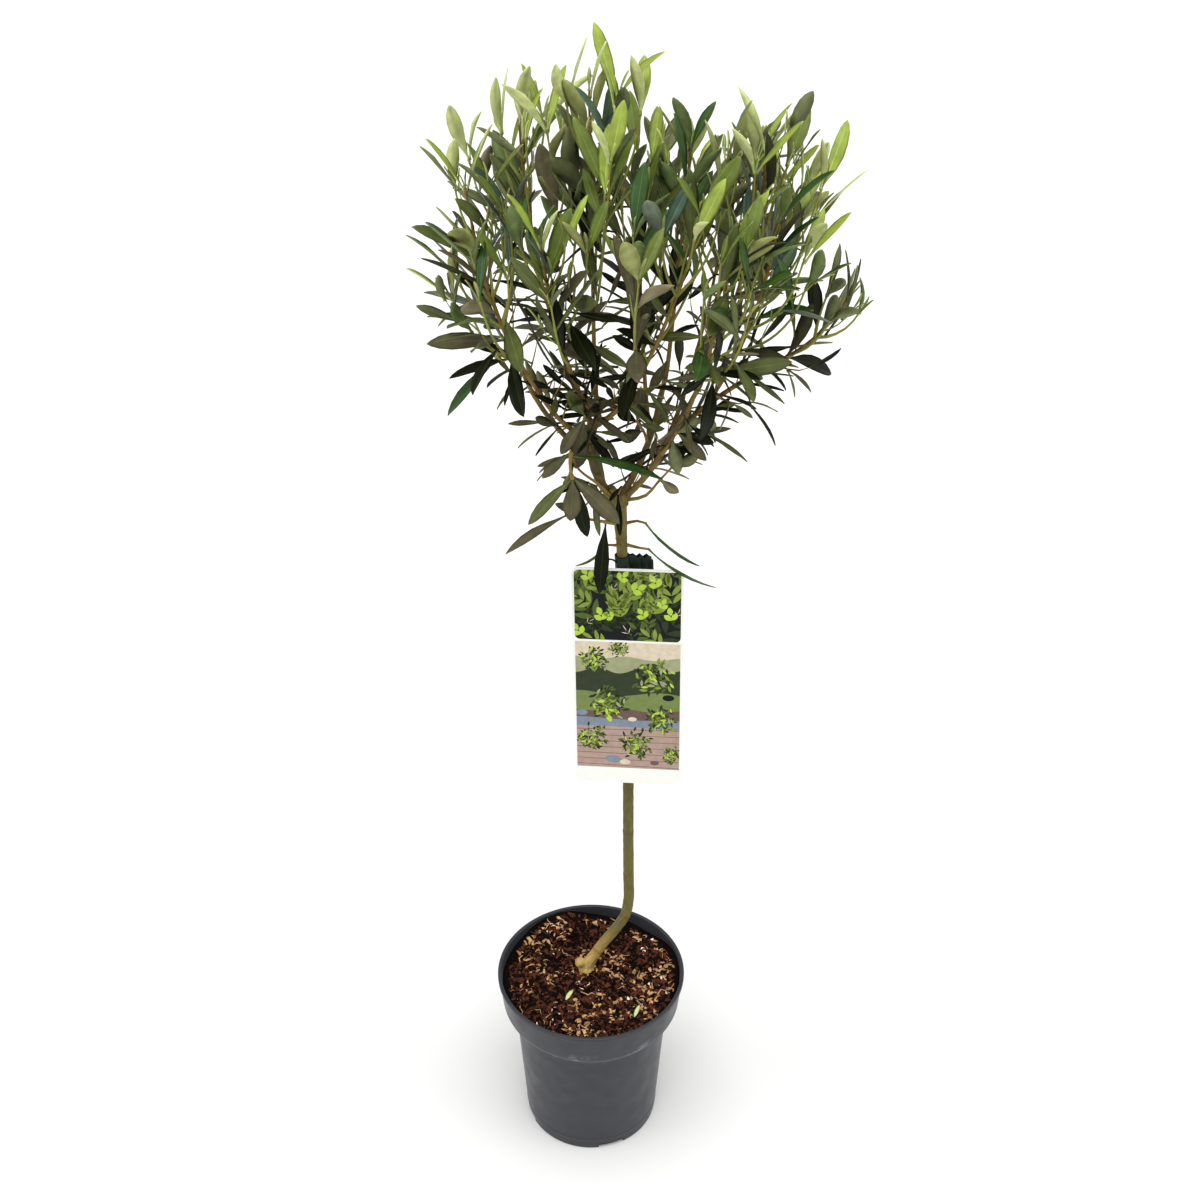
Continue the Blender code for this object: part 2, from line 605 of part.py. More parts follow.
def card_frame():
    """The middle of the card's back at its top, and the ways across, down and out."""
    yaw, lean, roll = radians(CARD_YAW), radians(CARD_LEAN), radians(CARD_ROLL)
    across = np.array((cos(yaw), -sin(yaw), 0.0))
    before = np.array((-sin(yaw), -cos(yaw), 0.0))
    top = stem_at((BAND_TOP + BAND_BOTTOM) / 2)
    top = top + before * (strap_radius() + BAND_THICKNESS / 2 + GAP) + across * CARD_ASIDE
    top[2] = CARD_TOP
    down = before * sin(lean) - UP * cos(lean)
    out = before * cos(lean) + UP * sin(lean)
    return top, across * cos(roll) + down * sin(roll), down * cos(roll) - across * sin(roll), out


# -------------------------------------------------------------------- shapes

def solid(name, points, faces, material_name):
    """A linked object from points and outward faces."""
    mesh = bpy.data.meshes.new(name)
    mesh.from_pydata([tuple(p) for p in points], [], faces)
    mesh.validate()
    mesh.materials.append(bpy.data.materials[material_name])
    made = bpy.data.objects.new(name, mesh)
    bpy.context.scene.collection.objects.link(made)
    return made


def tube(path, radii, sides, roll=0.0, level_start=False):
    """Points and faces of a closed, tapering tube along a path."""
    ways = np.gradient(path, axis=0)
    ways /= np.linalg.norm(ways, axis=1)[:, None]
    if level_start:
        ways[0] = UP
    side = turned(square_to(ways[0]), ways[0], roll)
    points = []
    for centre, way, radius in zip(path, ways, radii):
        side = unit(side - way * np.dot(side, way))
        other = np.cross(way, side)
        for k in range(sides):
            angle = 2 * pi * k / sides
            points.append(centre + radius * (side * cos(angle) + other * sin(angle)))
    faces = [tuple(range(sides))[::-1], tuple(len(points) - sides + k for k in range(sides))]
    for ring in range(len(path) - 1):
        low, high = ring * sides, (ring + 1) * sides
        for k in range(sides):
            after = (k + 1) % sides
            faces.append((low + k, low + after, high + after, high + k))
    return points, faces


def leaf_solid(leaf):
    """Six faces: flat above, with a keel below the leaf's widest line."""
    places = ((0.0, 0.0), (LEAF_WIDEST, LEAF_SPREAD), (LEAF_WIDEST, -LEAF_SPREAD), (1.0, 0.0))
    root, left, right, tip = leaf_points(leaf, places)
    keel = (left + right) / 2 - leaf.face * LEAF_THICKNESS
    faces = [(0, 2, 1), (1, 2, 3), (0, 1, 4), (0, 4, 2), (3, 4, 1), (3, 2, 4)]
    return (root, left, right, tip, keel), faces


def turned_solid(name, profile, sides, material_name):
    """A solid turned about Z from an outline of (radius, height) points.

    The outline runs up its outer side and ends on the axis at both ends.
    """
    points, rings = [], []
    for radius, height in profile:
        if radius == 0:
            rings.append([len(points)])
            points.append((0.0, 0.0, height))
            continue
        rings.append([len(points) + k for k in range(sides)])
        angles = [2 * pi * k / sides for k in range(sides)]
        points += [(radius * cos(a), radius * sin(a), height) for a in angles]
    faces = []
    for low, high in zip(rings[:-1], rings[1:]):
        for k in range(sides):
            after = (k + 1) % sides
            corners = [low[k % len(low)], low[after % len(low)], high[after % len(high)], high[k % len(high)]]
            faces.append(tuple(dict.fromkeys(corners)))
    return solid(name, points, faces, material_name)


def boolean(target, operation, operand, solver="EXACT"):
    """Add a Boolean with an object or with a whole collection."""
    modifier = target.modifiers.new(operation.lower(), "BOOLEAN")
    modifier.operation = operation
    modifier.solver = solver
    if isinstance(operand, bpy.types.Collection):
        modifier.operand_type = "COLLECTION"
        modifier.collection = operand
    else:
        modifier.object = operand


def settle(made):
    """Apply the modifiers, and keep only the largest closed piece.

    What goes is the scrap that a cut leaves behind and the wall of any hollow
    that a union seals.
    """
    graph = bpy.context.evaluated_depsgraph_get()
    mesh = bpy.data.meshes.new_from_object(made.evaluated_get(graph))
    made.modifiers.clear()
    work = bmesh.new()
    work.from_mesh(mesh)
    bmesh.ops.triangulate(work, faces=work.faces)
    pieces = []
    unseen = set(work.verts)
    while unseen:
        reached = [unseen.pop()]
        for vert in reached:
            near = {edge.other_vert(vert) for edge in vert.link_edges} & unseen
            unseen -= near
            reached += near
        pieces.append(reached)
    pieces.sort(key=len)
    bmesh.ops.delete(work, geom=[vert for piece in pieces[:-1] for vert in piece], context="VERTS")
    work.to_mesh(mesh)
    work.free()
    made.data = mesh


def is_closed(mesh):
    """Whether every edge of a mesh has just two faces."""
    work = bmesh.new()
    work.from_mesh(mesh)
    closed = all(len(edge.link_faces) == 2 for edge in work.edges)
    work.free()
    return closed


def shade(made, angle=35.0):
    made.data.shade_smooth()
    made.data.set_sharp_from_angle(angle=radians(angle))


# --------------------------------------------------------------------- parts

def make_materials():
    for name, (colour, roughness) in MATERIALS.items():
        material = bpy.data.materials.new(name)
        material.use_nodes = True
        shader = material.node_tree.nodes["Principled BSDF"]
        shader.inputs["Base Color"].default_value = (*colour, 1.0)
        shader.inputs["Roughness"].default_value = roughness
        shader.inputs["Metallic"].default_value = 0.0


def make_pot():
    """The turned pot, with drain slots cut through the edge of its base."""
    inner_base = POT_BASE_RADIUS - POT_WALL
    profile = (
        (0.0, 0.0),
        (POT_BASE_RADIUS - BASE_ROUND, 0.0),
        (POT_BASE_RADIUS, BASE_ROUND),
        (POT_WALL_RADIUS, POT_WALL_HEIGHT),
        (POT_BAND_RADIUS, POT_BAND_HEIGHT),
        (POT_RIM_RADIUS - RIM_LIP, POT_HEIGHT - RIM_LIP_HEIGHT),
        (POT_RIM_RADIUS, POT_HEIGHT - RIM_LIP_HEIGHT + RIM_ROUND),
        (POT_RIM_RADIUS, POT_HEIGHT - RIM_ROUND),
        (POT_RIM_RADIUS - RIM_ROUND, POT_HEIGHT),
        (POT_RIM_RADIUS - RIM_LIP - POT_WALL, POT_HEIGHT),
        (POT_BAND_RADIUS - POT_WALL, POT_BAND_HEIGHT + INNER_STEP),
        (POT_WALL_RADIUS - POT_WALL, POT_WALL_HEIGHT + INNER_STEP),
        (inner_base, POT_FLOOR),
        (0.0, POT_FLOOR),
    )
    pot = turned_solid("pot", profile, POT_SIDES, "pot_plastic")
    for k in range(POT_SLOTS):
        angle = 2 * pi * k / POT_SLOTS + radians(SLOT_AZIMUTH)
        cut_slot(pot, angle)
    shade(pot)


def cut_slot(pot, angle):
    """Cut one drain slot, a box across the base's edge at an angle."""
    bpy.ops.mesh.primitive_cube_add(size=1.0)
    cutter = bpy.context.object
    cutter.scale = (SLOT_DEPTH + SLOT_OVERSHOOT, SLOT_WIDTH, SLOT_HEIGHT + SLOT_OVERSHOOT)
    reach = POT_BASE_RADIUS - SLOT_DEPTH + cutter.scale[0] / 2
    cutter.location = (reach * cos(angle), reach * sin(angle), SLOT_HEIGHT - cutter.scale[2] / 2)
    cutter.rotation_euler.z = angle
    cut_with(pot, cutter)


def cut_with(made, cutter):
    """Take a cutter out of a solid at once, and remove the cutter."""
    boolean(made, "DIFFERENCE", cutter)
    settle(made)
    bpy.data.objects.remove(cutter)


def make_soil():
    """The soil, which fills the pot 0.3 mm clear of its wall."""
    wall_slope = (POT_WALL_RADIUS - POT_BASE_RADIUS) / POT_WALL_HEIGHT
    band_rise = POT_HEIGHT - RIM_LIP_HEIGHT - POT_BAND_HEIGHT
    band_slope = (POT_RIM_RADIUS - RIM_LIP - POT_BAND_RADIUS) / band_rise
    edge = POT_BAND_RADIUS - SOIL_INSET + band_slope * (SOIL_EDGE_HEIGHT - POT_BAND_HEIGHT)
    bottom = POT_FLOOR + GAP
    profile = (
        (0.0, bottom),
        (POT_BASE_RADIUS - SOIL_INSET + wall_slope * bottom, bottom),
        (POT_WALL_RADIUS - SOIL_INSET, POT_WALL_HEIGHT + INNER_STEP),
        (POT_BAND_RADIUS - SOIL_INSET, POT_BAND_HEIGHT + 2 * INNER_STEP),
        (edge, SOIL_EDGE_HEIGHT),
        (SOIL_FLAT_RADIUS, SOIL_TOP_HEIGHT),
        (0.0, SOIL_TOP_HEIGHT),
    )
    soil = turned_solid("soil", profile, SOIL_SIDES, "soil")
    shade(soil, 20.0)


def make_stem(limbs):
    """The stem, flat at soil level, with a round knob beside its foot."""
    path, radii = limbs["stem"]
    points, faces = tube(path, radii, STEM_SIDES, level_start=True)
    stem = solid("stem", points, faces, "bark")
    middle = STEM_FOOT + UP * KNOB_HEIGHT + heading(KNOB_AZIMUTH, 0.0) * KNOB_OUT
    bpy.ops.mesh.primitive_ico_sphere_add(subdivisions=2, radius=KNOB_SIZE, location=middle)
    knob = bpy.context.object
    boolean(stem, "UNION", knob)
    settle(stem)
    bpy.data.objects.remove(knob)
    shade(stem)


def fat_limb(limbs, name):
    """A limb 0.3 mm fatter all round, to cut its neighbours clear with."""
    path, radii = limbs[name]
    ends = unit(path[0] - path[1]) * GAP, unit(path[-1] - path[-2]) * GAP
    path = np.vstack((path[0] + ends[0], path[1:-1], path[-1] + ends[1]))
    grown = radii + GAP / cos(pi / LIMB_SIDES)
    points, faces = tube(path, grown, LIMB_SIDES if name != "stem" else STEM_SIDES)
    return solid("cutter", points, faces, "bark")


def near_limbs(path, radius, limbs, names):
    """The named limbs that a path comes within reach of."""
    near = []
    for name in names:
        other, radii = limbs[name]
        if distances(path, other[:-1], other[1:]).min() < radius + radii.max() + 2 * GAP:
            near.append(name)
    return near


def make_limbs(limbs):
    """Every bough and limb, cut clear of those made before it."""
    earlier = ["stem"]
    for name, limb in LIMBS.items():
        path, radii = limbs[name]
        points, faces = tube(path, radii, LIMB_SIDES, roll=LIMB_ROLL * len(earlier))
        made = solid(name, points, faces, "bark")
        for other in near_limbs(path, limb.base_dia / 2, limbs, earlier):
            cut_with(made, fat_limb(limbs, other))
        shade(made)
        earlier.append(name)


def make_spray(name, limbs):
    """One placed spray, cut clear of the limbs about its foot."""
    paths = placed_twigs(SPRAYS[name], limbs)
    twigs = [Twig(path, MAIN_TWIG_RADII) for path in paths]
    mass = join_mass(name, twigs, placed_leaves(SPRAYS[name], paths))
    for other in near_limbs(paths[0][:2], MAIN_TWIG_RADII[0], limbs, limbs):
        cut_with(mass, fat_limb(limbs, other))


def join_mass(name, twigs, leaves):
    """One mass of twigs and leaves, joined by one Boolean union."""
    group = bpy.data.collections.new(name + "_pieces")
    bpy.context.scene.collection.children.link(group)
    pieces = []
    for k, twig in enumerate(twigs):
        radii = np.linspace(*twig.radii, len(twig.path))
        pieces.append(tube(twig.path, radii, TWIG_SIDES, roll=TWIG_ROLL * k))
    pieces += [leaf_solid(leaf) for leaf in leaves]
    mass = solid(name, *pieces[0], "leaf")
    for points, faces in pieces[1:]:
        piece = solid("piece", points, faces, "leaf")
        bpy.context.scene.collection.objects.unlink(piece)
        group.objects.link(piece)
    twig_alone = mass.data
    boolean(mass, "UNION", group)
    settle(mass)
    if not is_closed(mass.data):
        mass.data = twig_alone
        boolean(mass, "UNION", group, "MANIFOLD")
        settle(mass)
    for piece in list(group.objects):
        bpy.data.objects.remove(piece)
    bpy.data.collections.remove(group)
    return mass


def make_band():
    """The label's strap: a loop round the stem with two tails to the right."""
    middle = stem_at((BAND_TOP + BAND_BOTTOM) / 2)
    radius = strap_radius()
    aside = BAND_TAIL_APART / 2
    bend = asin(aside / radius)
    line = [(radius + BAND_TAIL, -aside)]
    for k in range(BAND_STEPS + 1):
        angle = -bend - (2 * pi - 2 * bend) * k / BAND_STEPS
        line.append((radius * cos(angle), radius * sin(angle)))
    line.append((radius + BAND_TAIL - BAND_TAIL_STEP, aside))
    line = np.array(line)
    ways = np.gradient(line, axis=0)
    normals = np.stack((-ways[:, 1], ways[:, 0]), axis=1)
    normals *= BAND_THICKNESS / 2 / np.linalg.norm(normals, axis=1)[:, None]
    outline = np.vstack((line + normals, (line - normals)[::-1]))
    points = []
    for height in (BAND_BOTTOM, BAND_TOP):
        shift = stem_at(height) - middle
        points += [(middle[0] + shift[0] + x, middle[1] + shift[1] + y, height) for x, y in outline]
    count = len(outline)
    strip = len(line)
    faces = []
    for k in range(strip - 1):
        a, b = k, k + 1
        c, d = count - 1 - b, count - 1 - a
        faces += [(a, b, c, d), (d + count, c + count, b + count, a + count)]
    for k in range(count):
        after = (k + 1) % count
        faces.append((after, k, k + count, after + count))
    band = solid("label_band", points, faces, "band_plastic")
    work = bmesh.new()
    work.from_mesh(band.data)
    bmesh.ops.recalc_face_normals(work, faces=work.faces)
    work.to_mesh(band.data)
    work.free()
    shade(band)


def make_card():
    """The label's card, with round corners, hung before the stem."""
    half_width, half_height = CARD_WIDTH / 2, CARD_HEIGHT / 2
    outline = []
    corners = ((1, 1, 0), (-1, 1, 90), (-1, -1, 180), (1, -1, 270))
    for x, z, start in corners:
        for k in range(CARD_CORNER_STEPS + 1):
            angle = radians(start + 90 * k / CARD_CORNER_STEPS)
            outline.append((
                x * (half_width - CARD_CORNER) + CARD_CORNER * cos(angle),
                z * (half_height - CARD_CORNER) + CARD_CORNER * sin(angle),
            ))
    top, across, down, out = card_frame()
    points = []
    for depth in (CARD_THICKNESS, 0.0):
        for x, z in outline:
            points.append(top + across * x + down * (half_height - z) + out * depth)
    count = len(outline)
    faces = [tuple(range(count)), tuple(range(count, 2 * count))[::-1]]
    for k in range(count):
        after = (k + 1) % count
        faces.append((after, k, k + count, after + count))
    card = solid("label_card", points, faces, "label_card")
    shade(card)


def main():
    for old in list(bpy.data.objects):
        bpy.data.objects.remove(old)
    make_materials()
    limbs = limb_paths()
    spines = crown_spines(limbs)
    make_pot()
    make_soil()
    make_stem(limbs)
    make_limbs(limbs)
    make_band()
    make_card()
    for name in MASSES:
        join_mass(name, *grow(name, spines, limbs))
    for name in SPRAYS:
        make_spray(name, limbs)


if __name__ == "__main__":
    main()
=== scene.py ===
"""Looks of a potted olive tree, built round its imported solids, in metres.

The crown grows by the rule that the solids follow and is carried on from there
to finer twigs, small inner leaves and buds. Bark with relief stands for the
stem, boughs and limbs. Pot, soil and label are remade at their real finish.
"""

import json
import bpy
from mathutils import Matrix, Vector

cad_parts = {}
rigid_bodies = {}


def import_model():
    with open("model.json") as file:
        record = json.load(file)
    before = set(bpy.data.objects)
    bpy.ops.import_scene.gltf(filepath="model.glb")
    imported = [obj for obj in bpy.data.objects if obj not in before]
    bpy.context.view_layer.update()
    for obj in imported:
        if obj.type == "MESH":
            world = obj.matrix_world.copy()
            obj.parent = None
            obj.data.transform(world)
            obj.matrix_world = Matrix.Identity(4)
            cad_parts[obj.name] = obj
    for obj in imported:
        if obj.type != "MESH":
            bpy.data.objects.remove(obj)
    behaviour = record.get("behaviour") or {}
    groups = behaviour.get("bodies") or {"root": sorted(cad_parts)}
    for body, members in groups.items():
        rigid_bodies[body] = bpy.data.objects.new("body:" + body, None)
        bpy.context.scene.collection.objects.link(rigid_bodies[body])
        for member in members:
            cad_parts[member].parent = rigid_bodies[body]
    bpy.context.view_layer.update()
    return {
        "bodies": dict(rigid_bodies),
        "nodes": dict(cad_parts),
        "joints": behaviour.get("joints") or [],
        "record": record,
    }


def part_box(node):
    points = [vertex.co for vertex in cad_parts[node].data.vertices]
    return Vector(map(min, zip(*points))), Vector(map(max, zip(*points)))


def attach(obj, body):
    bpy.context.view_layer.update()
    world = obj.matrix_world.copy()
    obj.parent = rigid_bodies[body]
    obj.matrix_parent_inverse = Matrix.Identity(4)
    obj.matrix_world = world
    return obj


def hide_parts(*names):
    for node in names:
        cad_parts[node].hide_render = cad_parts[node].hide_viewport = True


bl_info = {
    "name": "Potted Olive Tree",
    "version": (1, 0, 0),
    "blender": (4, 5, 0),
    "location": "3D View > Sidebar > Olive",
    "description": "Dresses the packed solids of a potted olive tree",
    "category": "Object",
}

from collections import namedtuple
from functools import lru_cache
from math import asin, atan2, ceil, cos, degrees, exp, hypot, pi, radians, sin

import bmesh
import bpy
import numpy as np
from bpy.props import FloatProperty, FloatVectorProperty, PointerProperty
from bpy.types import Operator, Panel, PropertyGroup
from mathutils import Vector, noise

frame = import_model()

UP = np.array((0.0, 0.0, 1.0))
GAP = 0.0003                      # between neighbouring solids

# ------------------------------------------------------------ sizes and tints

# Pot and soil: overall sizes from the frame, the rest as the solids have them.
POT_LOW, POT_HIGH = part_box("pot")
POT_HEIGHT = POT_HIGH.z
POT_RIM_RADIUS = (POT_HIGH.x - POT_LOW.x) / 2
POT_BAND_RADIUS = 0.0665          # foot of the smooth band
POT_BAND_HEIGHT = 0.113
POT_WALL_RADIUS = 0.0575          # tapered wall, where it meets the shoulder
POT_WALL_HEIGHT = 0.104
POT_BASE_RADIUS = 0.0504
POT_WALL = 0.0014
POT_FLOOR = 0.0020
POT_SIDES = 128
POT_SLOTS = 4
SLOT_AZIMUTH = -72.0              # of the first, in degrees
SLOT_WIDTH = 0.020
SLOT_HEIGHT = 0.0040
SLOT_DEPTH = 0.0060
SLOT_OVERLAP = 0.002              # of its cutter past the wall
RIM_LIP = 0.0012
RIM_LIP_HEIGHT = 0.0030
BASE_BEAD_HEIGHT = 0.0095         # faint ridge round the foot
BASE_BEAD = 0.00035
BEAD_HALF = 0.0012                # of its height
LIP_SLOPE = 0.0006
LIP_FILLET = 0.0005
SHOULDER_FILLET = 0.0035
INNER_FILLET = 0.0030
INNER_RISE = 0.0006               # of the inner corners over the outer ones
POT_DIRT_HEIGHT = 0.026           # specks of dirt thin out up to here
POT_SPECK = 0.0022
POT_DUST = 0.10                   # sheen that lightens the pot's edges

SOIL_EDGE_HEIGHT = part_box("soil")[1].z
SOIL_TOP_HEIGHT = 0.1320
SOIL_FLAT_RADIUS = 0.035
SOIL_RINGS = 26
SOIL_SPOKES = 120

# Stem: (length, azimuth, first rise, last rise) of each stretch from the foot.
STEM_FOOT = np.array((-0.004, 0.009, SOIL_TOP_HEIGHT + GAP))
STEM_STRETCHES = (
    (0.042, 8.0, 64.0, 53.0),
    (0.034, 0.0, 53.0, 91.0),
    (0.100, 0.0, 91.0, 90.5),
    (0.236, 0.0, 90.5, 93.5),
)
STEM_STEP = 0.018
STEM_FLARE_DIA = 0.0108
STEM_FLARE_LENGTH = 0.012
STEM_LOW_DIA = 0.0080
STEM_TOP_DIA = 0.0072
STEM_HEAD_DIA = 0.0112            # swelling that the boughs leave from
STEM_HEAD_LENGTH = 0.012
STEM_END_DIA = 0.0096             # the head's rounded-off top
KNOB_SIZE = 0.0042                # round burl on the left of the foot
KNOB_HEIGHT = 0.007
KNOB_OUT = 0.0045                 # from the stem's axis
KNOB_AZIMUTH = 205.0

# Boughs and limbs: where each leaves its parent, how it rises, and its size.
Limb = namedtuple("Limb", "parent share azimuth first_rise last_rise length base_dia tip_dia")
LIMBS = {
    "bough_left": Limb("stem", 0.982, 187, 42, 114, 0.067, 0.0062, 0.0044),
    "bough_middle": Limb("stem", 0.990, 24, 52, 82, 0.070, 0.0046, 0.0036),
    "bough_right": Limb("stem", 0.984, -10, 45, 72, 0.068, 0.0044, 0.0036),
    "limb_top": Limb("bough_left", 0.97, 104, 68, 88, 0.044, 0.0036, 0.0028),
    "limb_front": Limb("bough_left", 0.88, -46, 34, 62, 0.052, 0.0036, 0.0028),
    "limb_left_front": Limb("bough_left", 0.72, 212, 34, 60, 0.050, 0.0034, 0.0028),
    "limb_left": Limb("bough_left", 0.54, 180, 38, 70, 0.072, 0.0038, 0.0028),
    "limb_back_left": Limb("bough_left", 0.86, 128, 38, 62, 0.050, 0.0034, 0.0026),
    "limb_back": Limb("bough_middle", 0.62, 96, 34, 60, 0.052, 0.0034, 0.0026),
    "limb_top_right": Limb("bough_middle", 0.97, 20, 74, 86, 0.034, 0.0034, 0.0028),
    "limb_right_top": Limb("bough_right", 0.97, 6, 58, 70, 0.046, 0.0034, 0.0028),
    "limb_far_right": Limb("bough_right", 0.86, -6, 48, 30, 0.080, 0.0036, 0.0026),
    "limb_right": Limb("limb_far_right", 0.34, -36, 58, 66, 0.040, 0.0030, 0.0024),
    "limb_front_right": Limb("bough_right", 0.90, -66, 44, 62, 0.044, 0.0034, 0.0026),
    "limb_back_right": Limb("bough_right", 0.62, 58, 40, 60, 0.058, 0.0034, 0.0026),
    "limb_middle": Limb("bough_left", 0.97, 232, 44, 66, 0.040, 0.0034, 0.0026),
}
LIMB_STEPS = 5

# Masses: each stem goes on from the tip of its limb, with side twigs on it.
Mass = namedtuple("Mass", "carrier last_rise length side_twigs droop seed")
MASSES = {
    "foliage_front": Mass("limb_front", 74, 0.120, 5, 0.10, 3),
    "foliage_top": Mass("limb_top", 86, 0.145, 6, 0.0, 5),
    "foliage_left_front": Mass("limb_left_front", 78, 0.105, 4, 0.12, 7),
    "foliage_left": Mass("limb_left", 84, 0.115, 5, 0.08, 11),
    "foliage_back_left": Mass("limb_back_left", 88, 0.140, 5, 0.08, 13),
    "foliage_back": Mass("limb_back", 86, 0.126, 5, 0.08, 17),
    "foliage_top_right": Mass("limb_top_right", 86, 0.120, 6, 0.0, 19),
    "foliage_right_top": Mass("limb_right_top", 87, 0.126, 7, 0.0, 23),
    "foliage_far_right": Mass("limb_far_right", 64, 0.056, 2, 0.25, 29),
    "foliage_right": Mass("limb_right", 84, 0.090, 5, 0.08, 31),
    "foliage_front_right": Mass("limb_front_right", 80, 0.110, 5, 0.12, 37),
    "foliage_back_right": Mass("limb_back_right", 84, 0.128, 6, 0.10, 41),
    "foliage_middle": Mass("limb_middle", 82, 0.090, 4, 0.12, 61),
}
# Sprays low round the fork: the points of each twig, the first of which sets
# out from the carrier, and each leaf's (twig, share of it, azimuth, rise,
# length, width, turn, curl), turned about its own length from face up.
Spray = namedtuple("Spray", "carrier share twigs leaves")
SPRAYS = {
    "foliage_low_left": Spray("stem", 0.984, (
        ((0.0056, 0.0040, 0.5458), (-0.0071, -0.0060, 0.5623), (-0.0111, -0.0120, 0.5765)),
        ((-0.0105, -0.0115, 0.5743), (-0.0110, -0.0190, 0.5694), (-0.0092, -0.0260, 0.5636)),
    ), (
        (1, 0.97, -93, -67, 0.025, 0.0115, -4, 0.06),
        (1, 0.94, -165, -41, 0.039, 0.0085, -37, 0.10),
        (1, 0.91, -23, -36, 0.039, 0.0115, 40, 0.10),
        (1, 0.88, 39, -78, 0.048, 0.0095, 122, 0.05),
        (1, 0.81, 43, -51, 0.024, 0.0080, 125, 0.05),
        (1, 0.66, 103, -59, 0.024, 0.0080, -13, 0.05),
        (1, 0.09, -17, 0, 0.056, 0.0085, 9, 0.16),
        (0, 0.97, -150, -30, 0.023, 0.0075, -23, 0.08),
    )),
    "foliage_hanging": Spray("stem", 0.945, (
        ((0.0068, 0.0000, 0.5221), (-0.0037, -0.0080, 0.5285), (-0.0139, -0.0140, 0.5345)),
    ), (
        (0, 0.97, -168, -26, 0.046, 0.0075, -26, 0.10),
        (0, 0.30, -103, -66, 0.046, 0.0095, -1, 0.06),
        (0, 0.64, 155, 19, 0.023, 0.0070, -25, 0.08),
    )),
    "foliage_sprout_left": Spray("stem", 0.908, (
        ((0.0144, 0.0060, 0.5017), (0.0106, 0.0030, 0.5034)),
    ), (
        (0, 0.97, -141, -42, 0.022, 0.0055, -124, 0.34),
    )),
    "foliage_sprout_right": Spray("stem", 0.944, (
        ((0.0307, 0.0100, 0.5168), (0.0351, 0.0080, 0.5164)),
    ), (
        (0, 0.97, -23, -46, 0.044, 0.0055, 124, 0.22),
    )),
    "foliage_sprout_low": Spray("stem", 0.912, (
        ((0.0321, 0.0060, 0.4996), (0.0371, 0.0030, 0.5005)),
    ), (
        (0, 0.97, -29, -33, 0.048, 0.0060, 116, 0.24),
    )),
    "foliage_low_right": Spray("stem", 0.986, (
        ((0.0348, 0.0080, 0.5355), (0.0431, 0.0040, 0.5479), (0.0518, 0.0000, 0.5607)),
    ), (
        (0, 0.71, -30, -32, 0.014, 0.0070, -147, 0.06),
        (0, 0.97, -20, 36, 0.021, 0.0100, -133, 0.05),
        (0, 0.93, 50, 47, 0.020, 0.0080, 53, 0.05),
    )),
    "foliage_low_side": Spray("bough_right", 0.620, (
        ((0.0500, -0.0040, 0.5793), (0.0525, -0.0100, 0.5880)),
    ), (
        (0, 0.71, -67, -73, 0.021, 0.0090, -172, 0.08),
        (0, 0.97, -19, -39, 0.025, 0.0070, 71, 0.08),
        (0, 0.94, 13, -22, 0.027, 0.0075, 52, 0.06),
        (0, 0.91, -37, 39, 0.023, 0.0080, -119, 0.06),
    )),
    "foliage_low_middle": Spray("bough_middle", 0.560, (
        ((0.0334, 0.0060, 0.5799), (0.0283, -0.0020, 0.5915)),
    ), (
        (0, 0.63, -154, -13, 0.015, 0.0085, 112, 0.05),
        (0, 0.95, 56, 76, 0.020, 0.0090, 30, 0.05),
        (0, 0.84, -36, 6, 0.017, 0.0070, 96, 0.08),
        (0, 0.92, 147, 14, 0.015, 0.0070, -37, 0.06),
    )),
    "foliage_low_front": Spray("bough_left", 0.600, (
        ((-0.0034, 0.0000, 0.5840), (-0.0021, -0.0080, 0.5974)),
    ), (
        (0, 0.93, 115, -74, 0.044, 0.0115, -151, 0.04),
        (0, 0.65, -17, -45, 0.030, 0.0070, 31, 0.06),
        (0, 0.97, -140, 57, 0.022, 0.0090, -100, 0.05),
        (0, 0.90, 170, -58, 0.030, 0.0080, -71, 0.08),
        (0, 0.87, -25, 51, 0.022, 0.0080, -106, 0.05),
    )),
}
MASS_STEPS = 7                    # straight pieces in a mass's stem
MAIN_TWIG_RADII = (0.0013, 0.0008)
SIDE_TWIG_RADII = (0.0010, 0.0007)
TWIG_SIDES = 6
SIDE_TWIG_SHARES = (0.05, 0.81)   # the stretch of the stem that bears them
SIDE_TWIG_LENGTHS = (0.55, 0.85)  # shares of the stem that is left above
SIDE_TWIG_EXTRA = 0.010
SIDE_TWIG_OPENING = 44.0
SIDE_TWIG_SCATTER = 25.0          # degrees round the stem
SIDE_TWIG_DOUBLES = 0.5           # chance of one on each side
SIDE_TWIG_GOAL = (0.5, 1.3)       # how far it follows the stem, and droops
SIDE_TWIG_BEND = 0.9
SIDE_TWIG_STEPS = 3
SIDE_TWIG_CLEARANCE = 0.0025      # of limbs
TURN_TRIES = (0.0, 24.0, 48.0, 72.0, 96.0, 120.0)
LEAF_SPACING = 0.0205             # between pairs along a twig
LEAF_STRETCH = (0.08, 0.22, 0.97)  # shares of a twig: first on a stem, first on a side twig, last
LEAF_LENGTHS = (0.038, 0.055)
LEAF_TIP_LOSS = 0.22              # share of its length that the last leaf lacks
LEAF_SHADE_LOSS = 0.20            # and that one in full shade lacks
LEAF_ASPECTS = (0.21, 0.28)       # width over length
LEAF_FACING = 0.9                 # how far a blade rolls to show a broad side
LEAF_LIGHT_RISE = 0.5             # to the light, out of the crown and this far up
LEAF_OPENINGS = (38.0, 64.0)      # degrees off the twig
LEAF_TIP_CLOSING = 0.45           # share of the opening that the last pair lacks
LEAF_SCATTER = 14.0               # degrees round the twig
LEAF_ROLL = 16.0                  # degrees about its own length
LEAF_CURLS = (-0.02, 0.12)        # drop of the tip over the length
LEAF_WIDEST = 0.52                # share of the length where it is widest
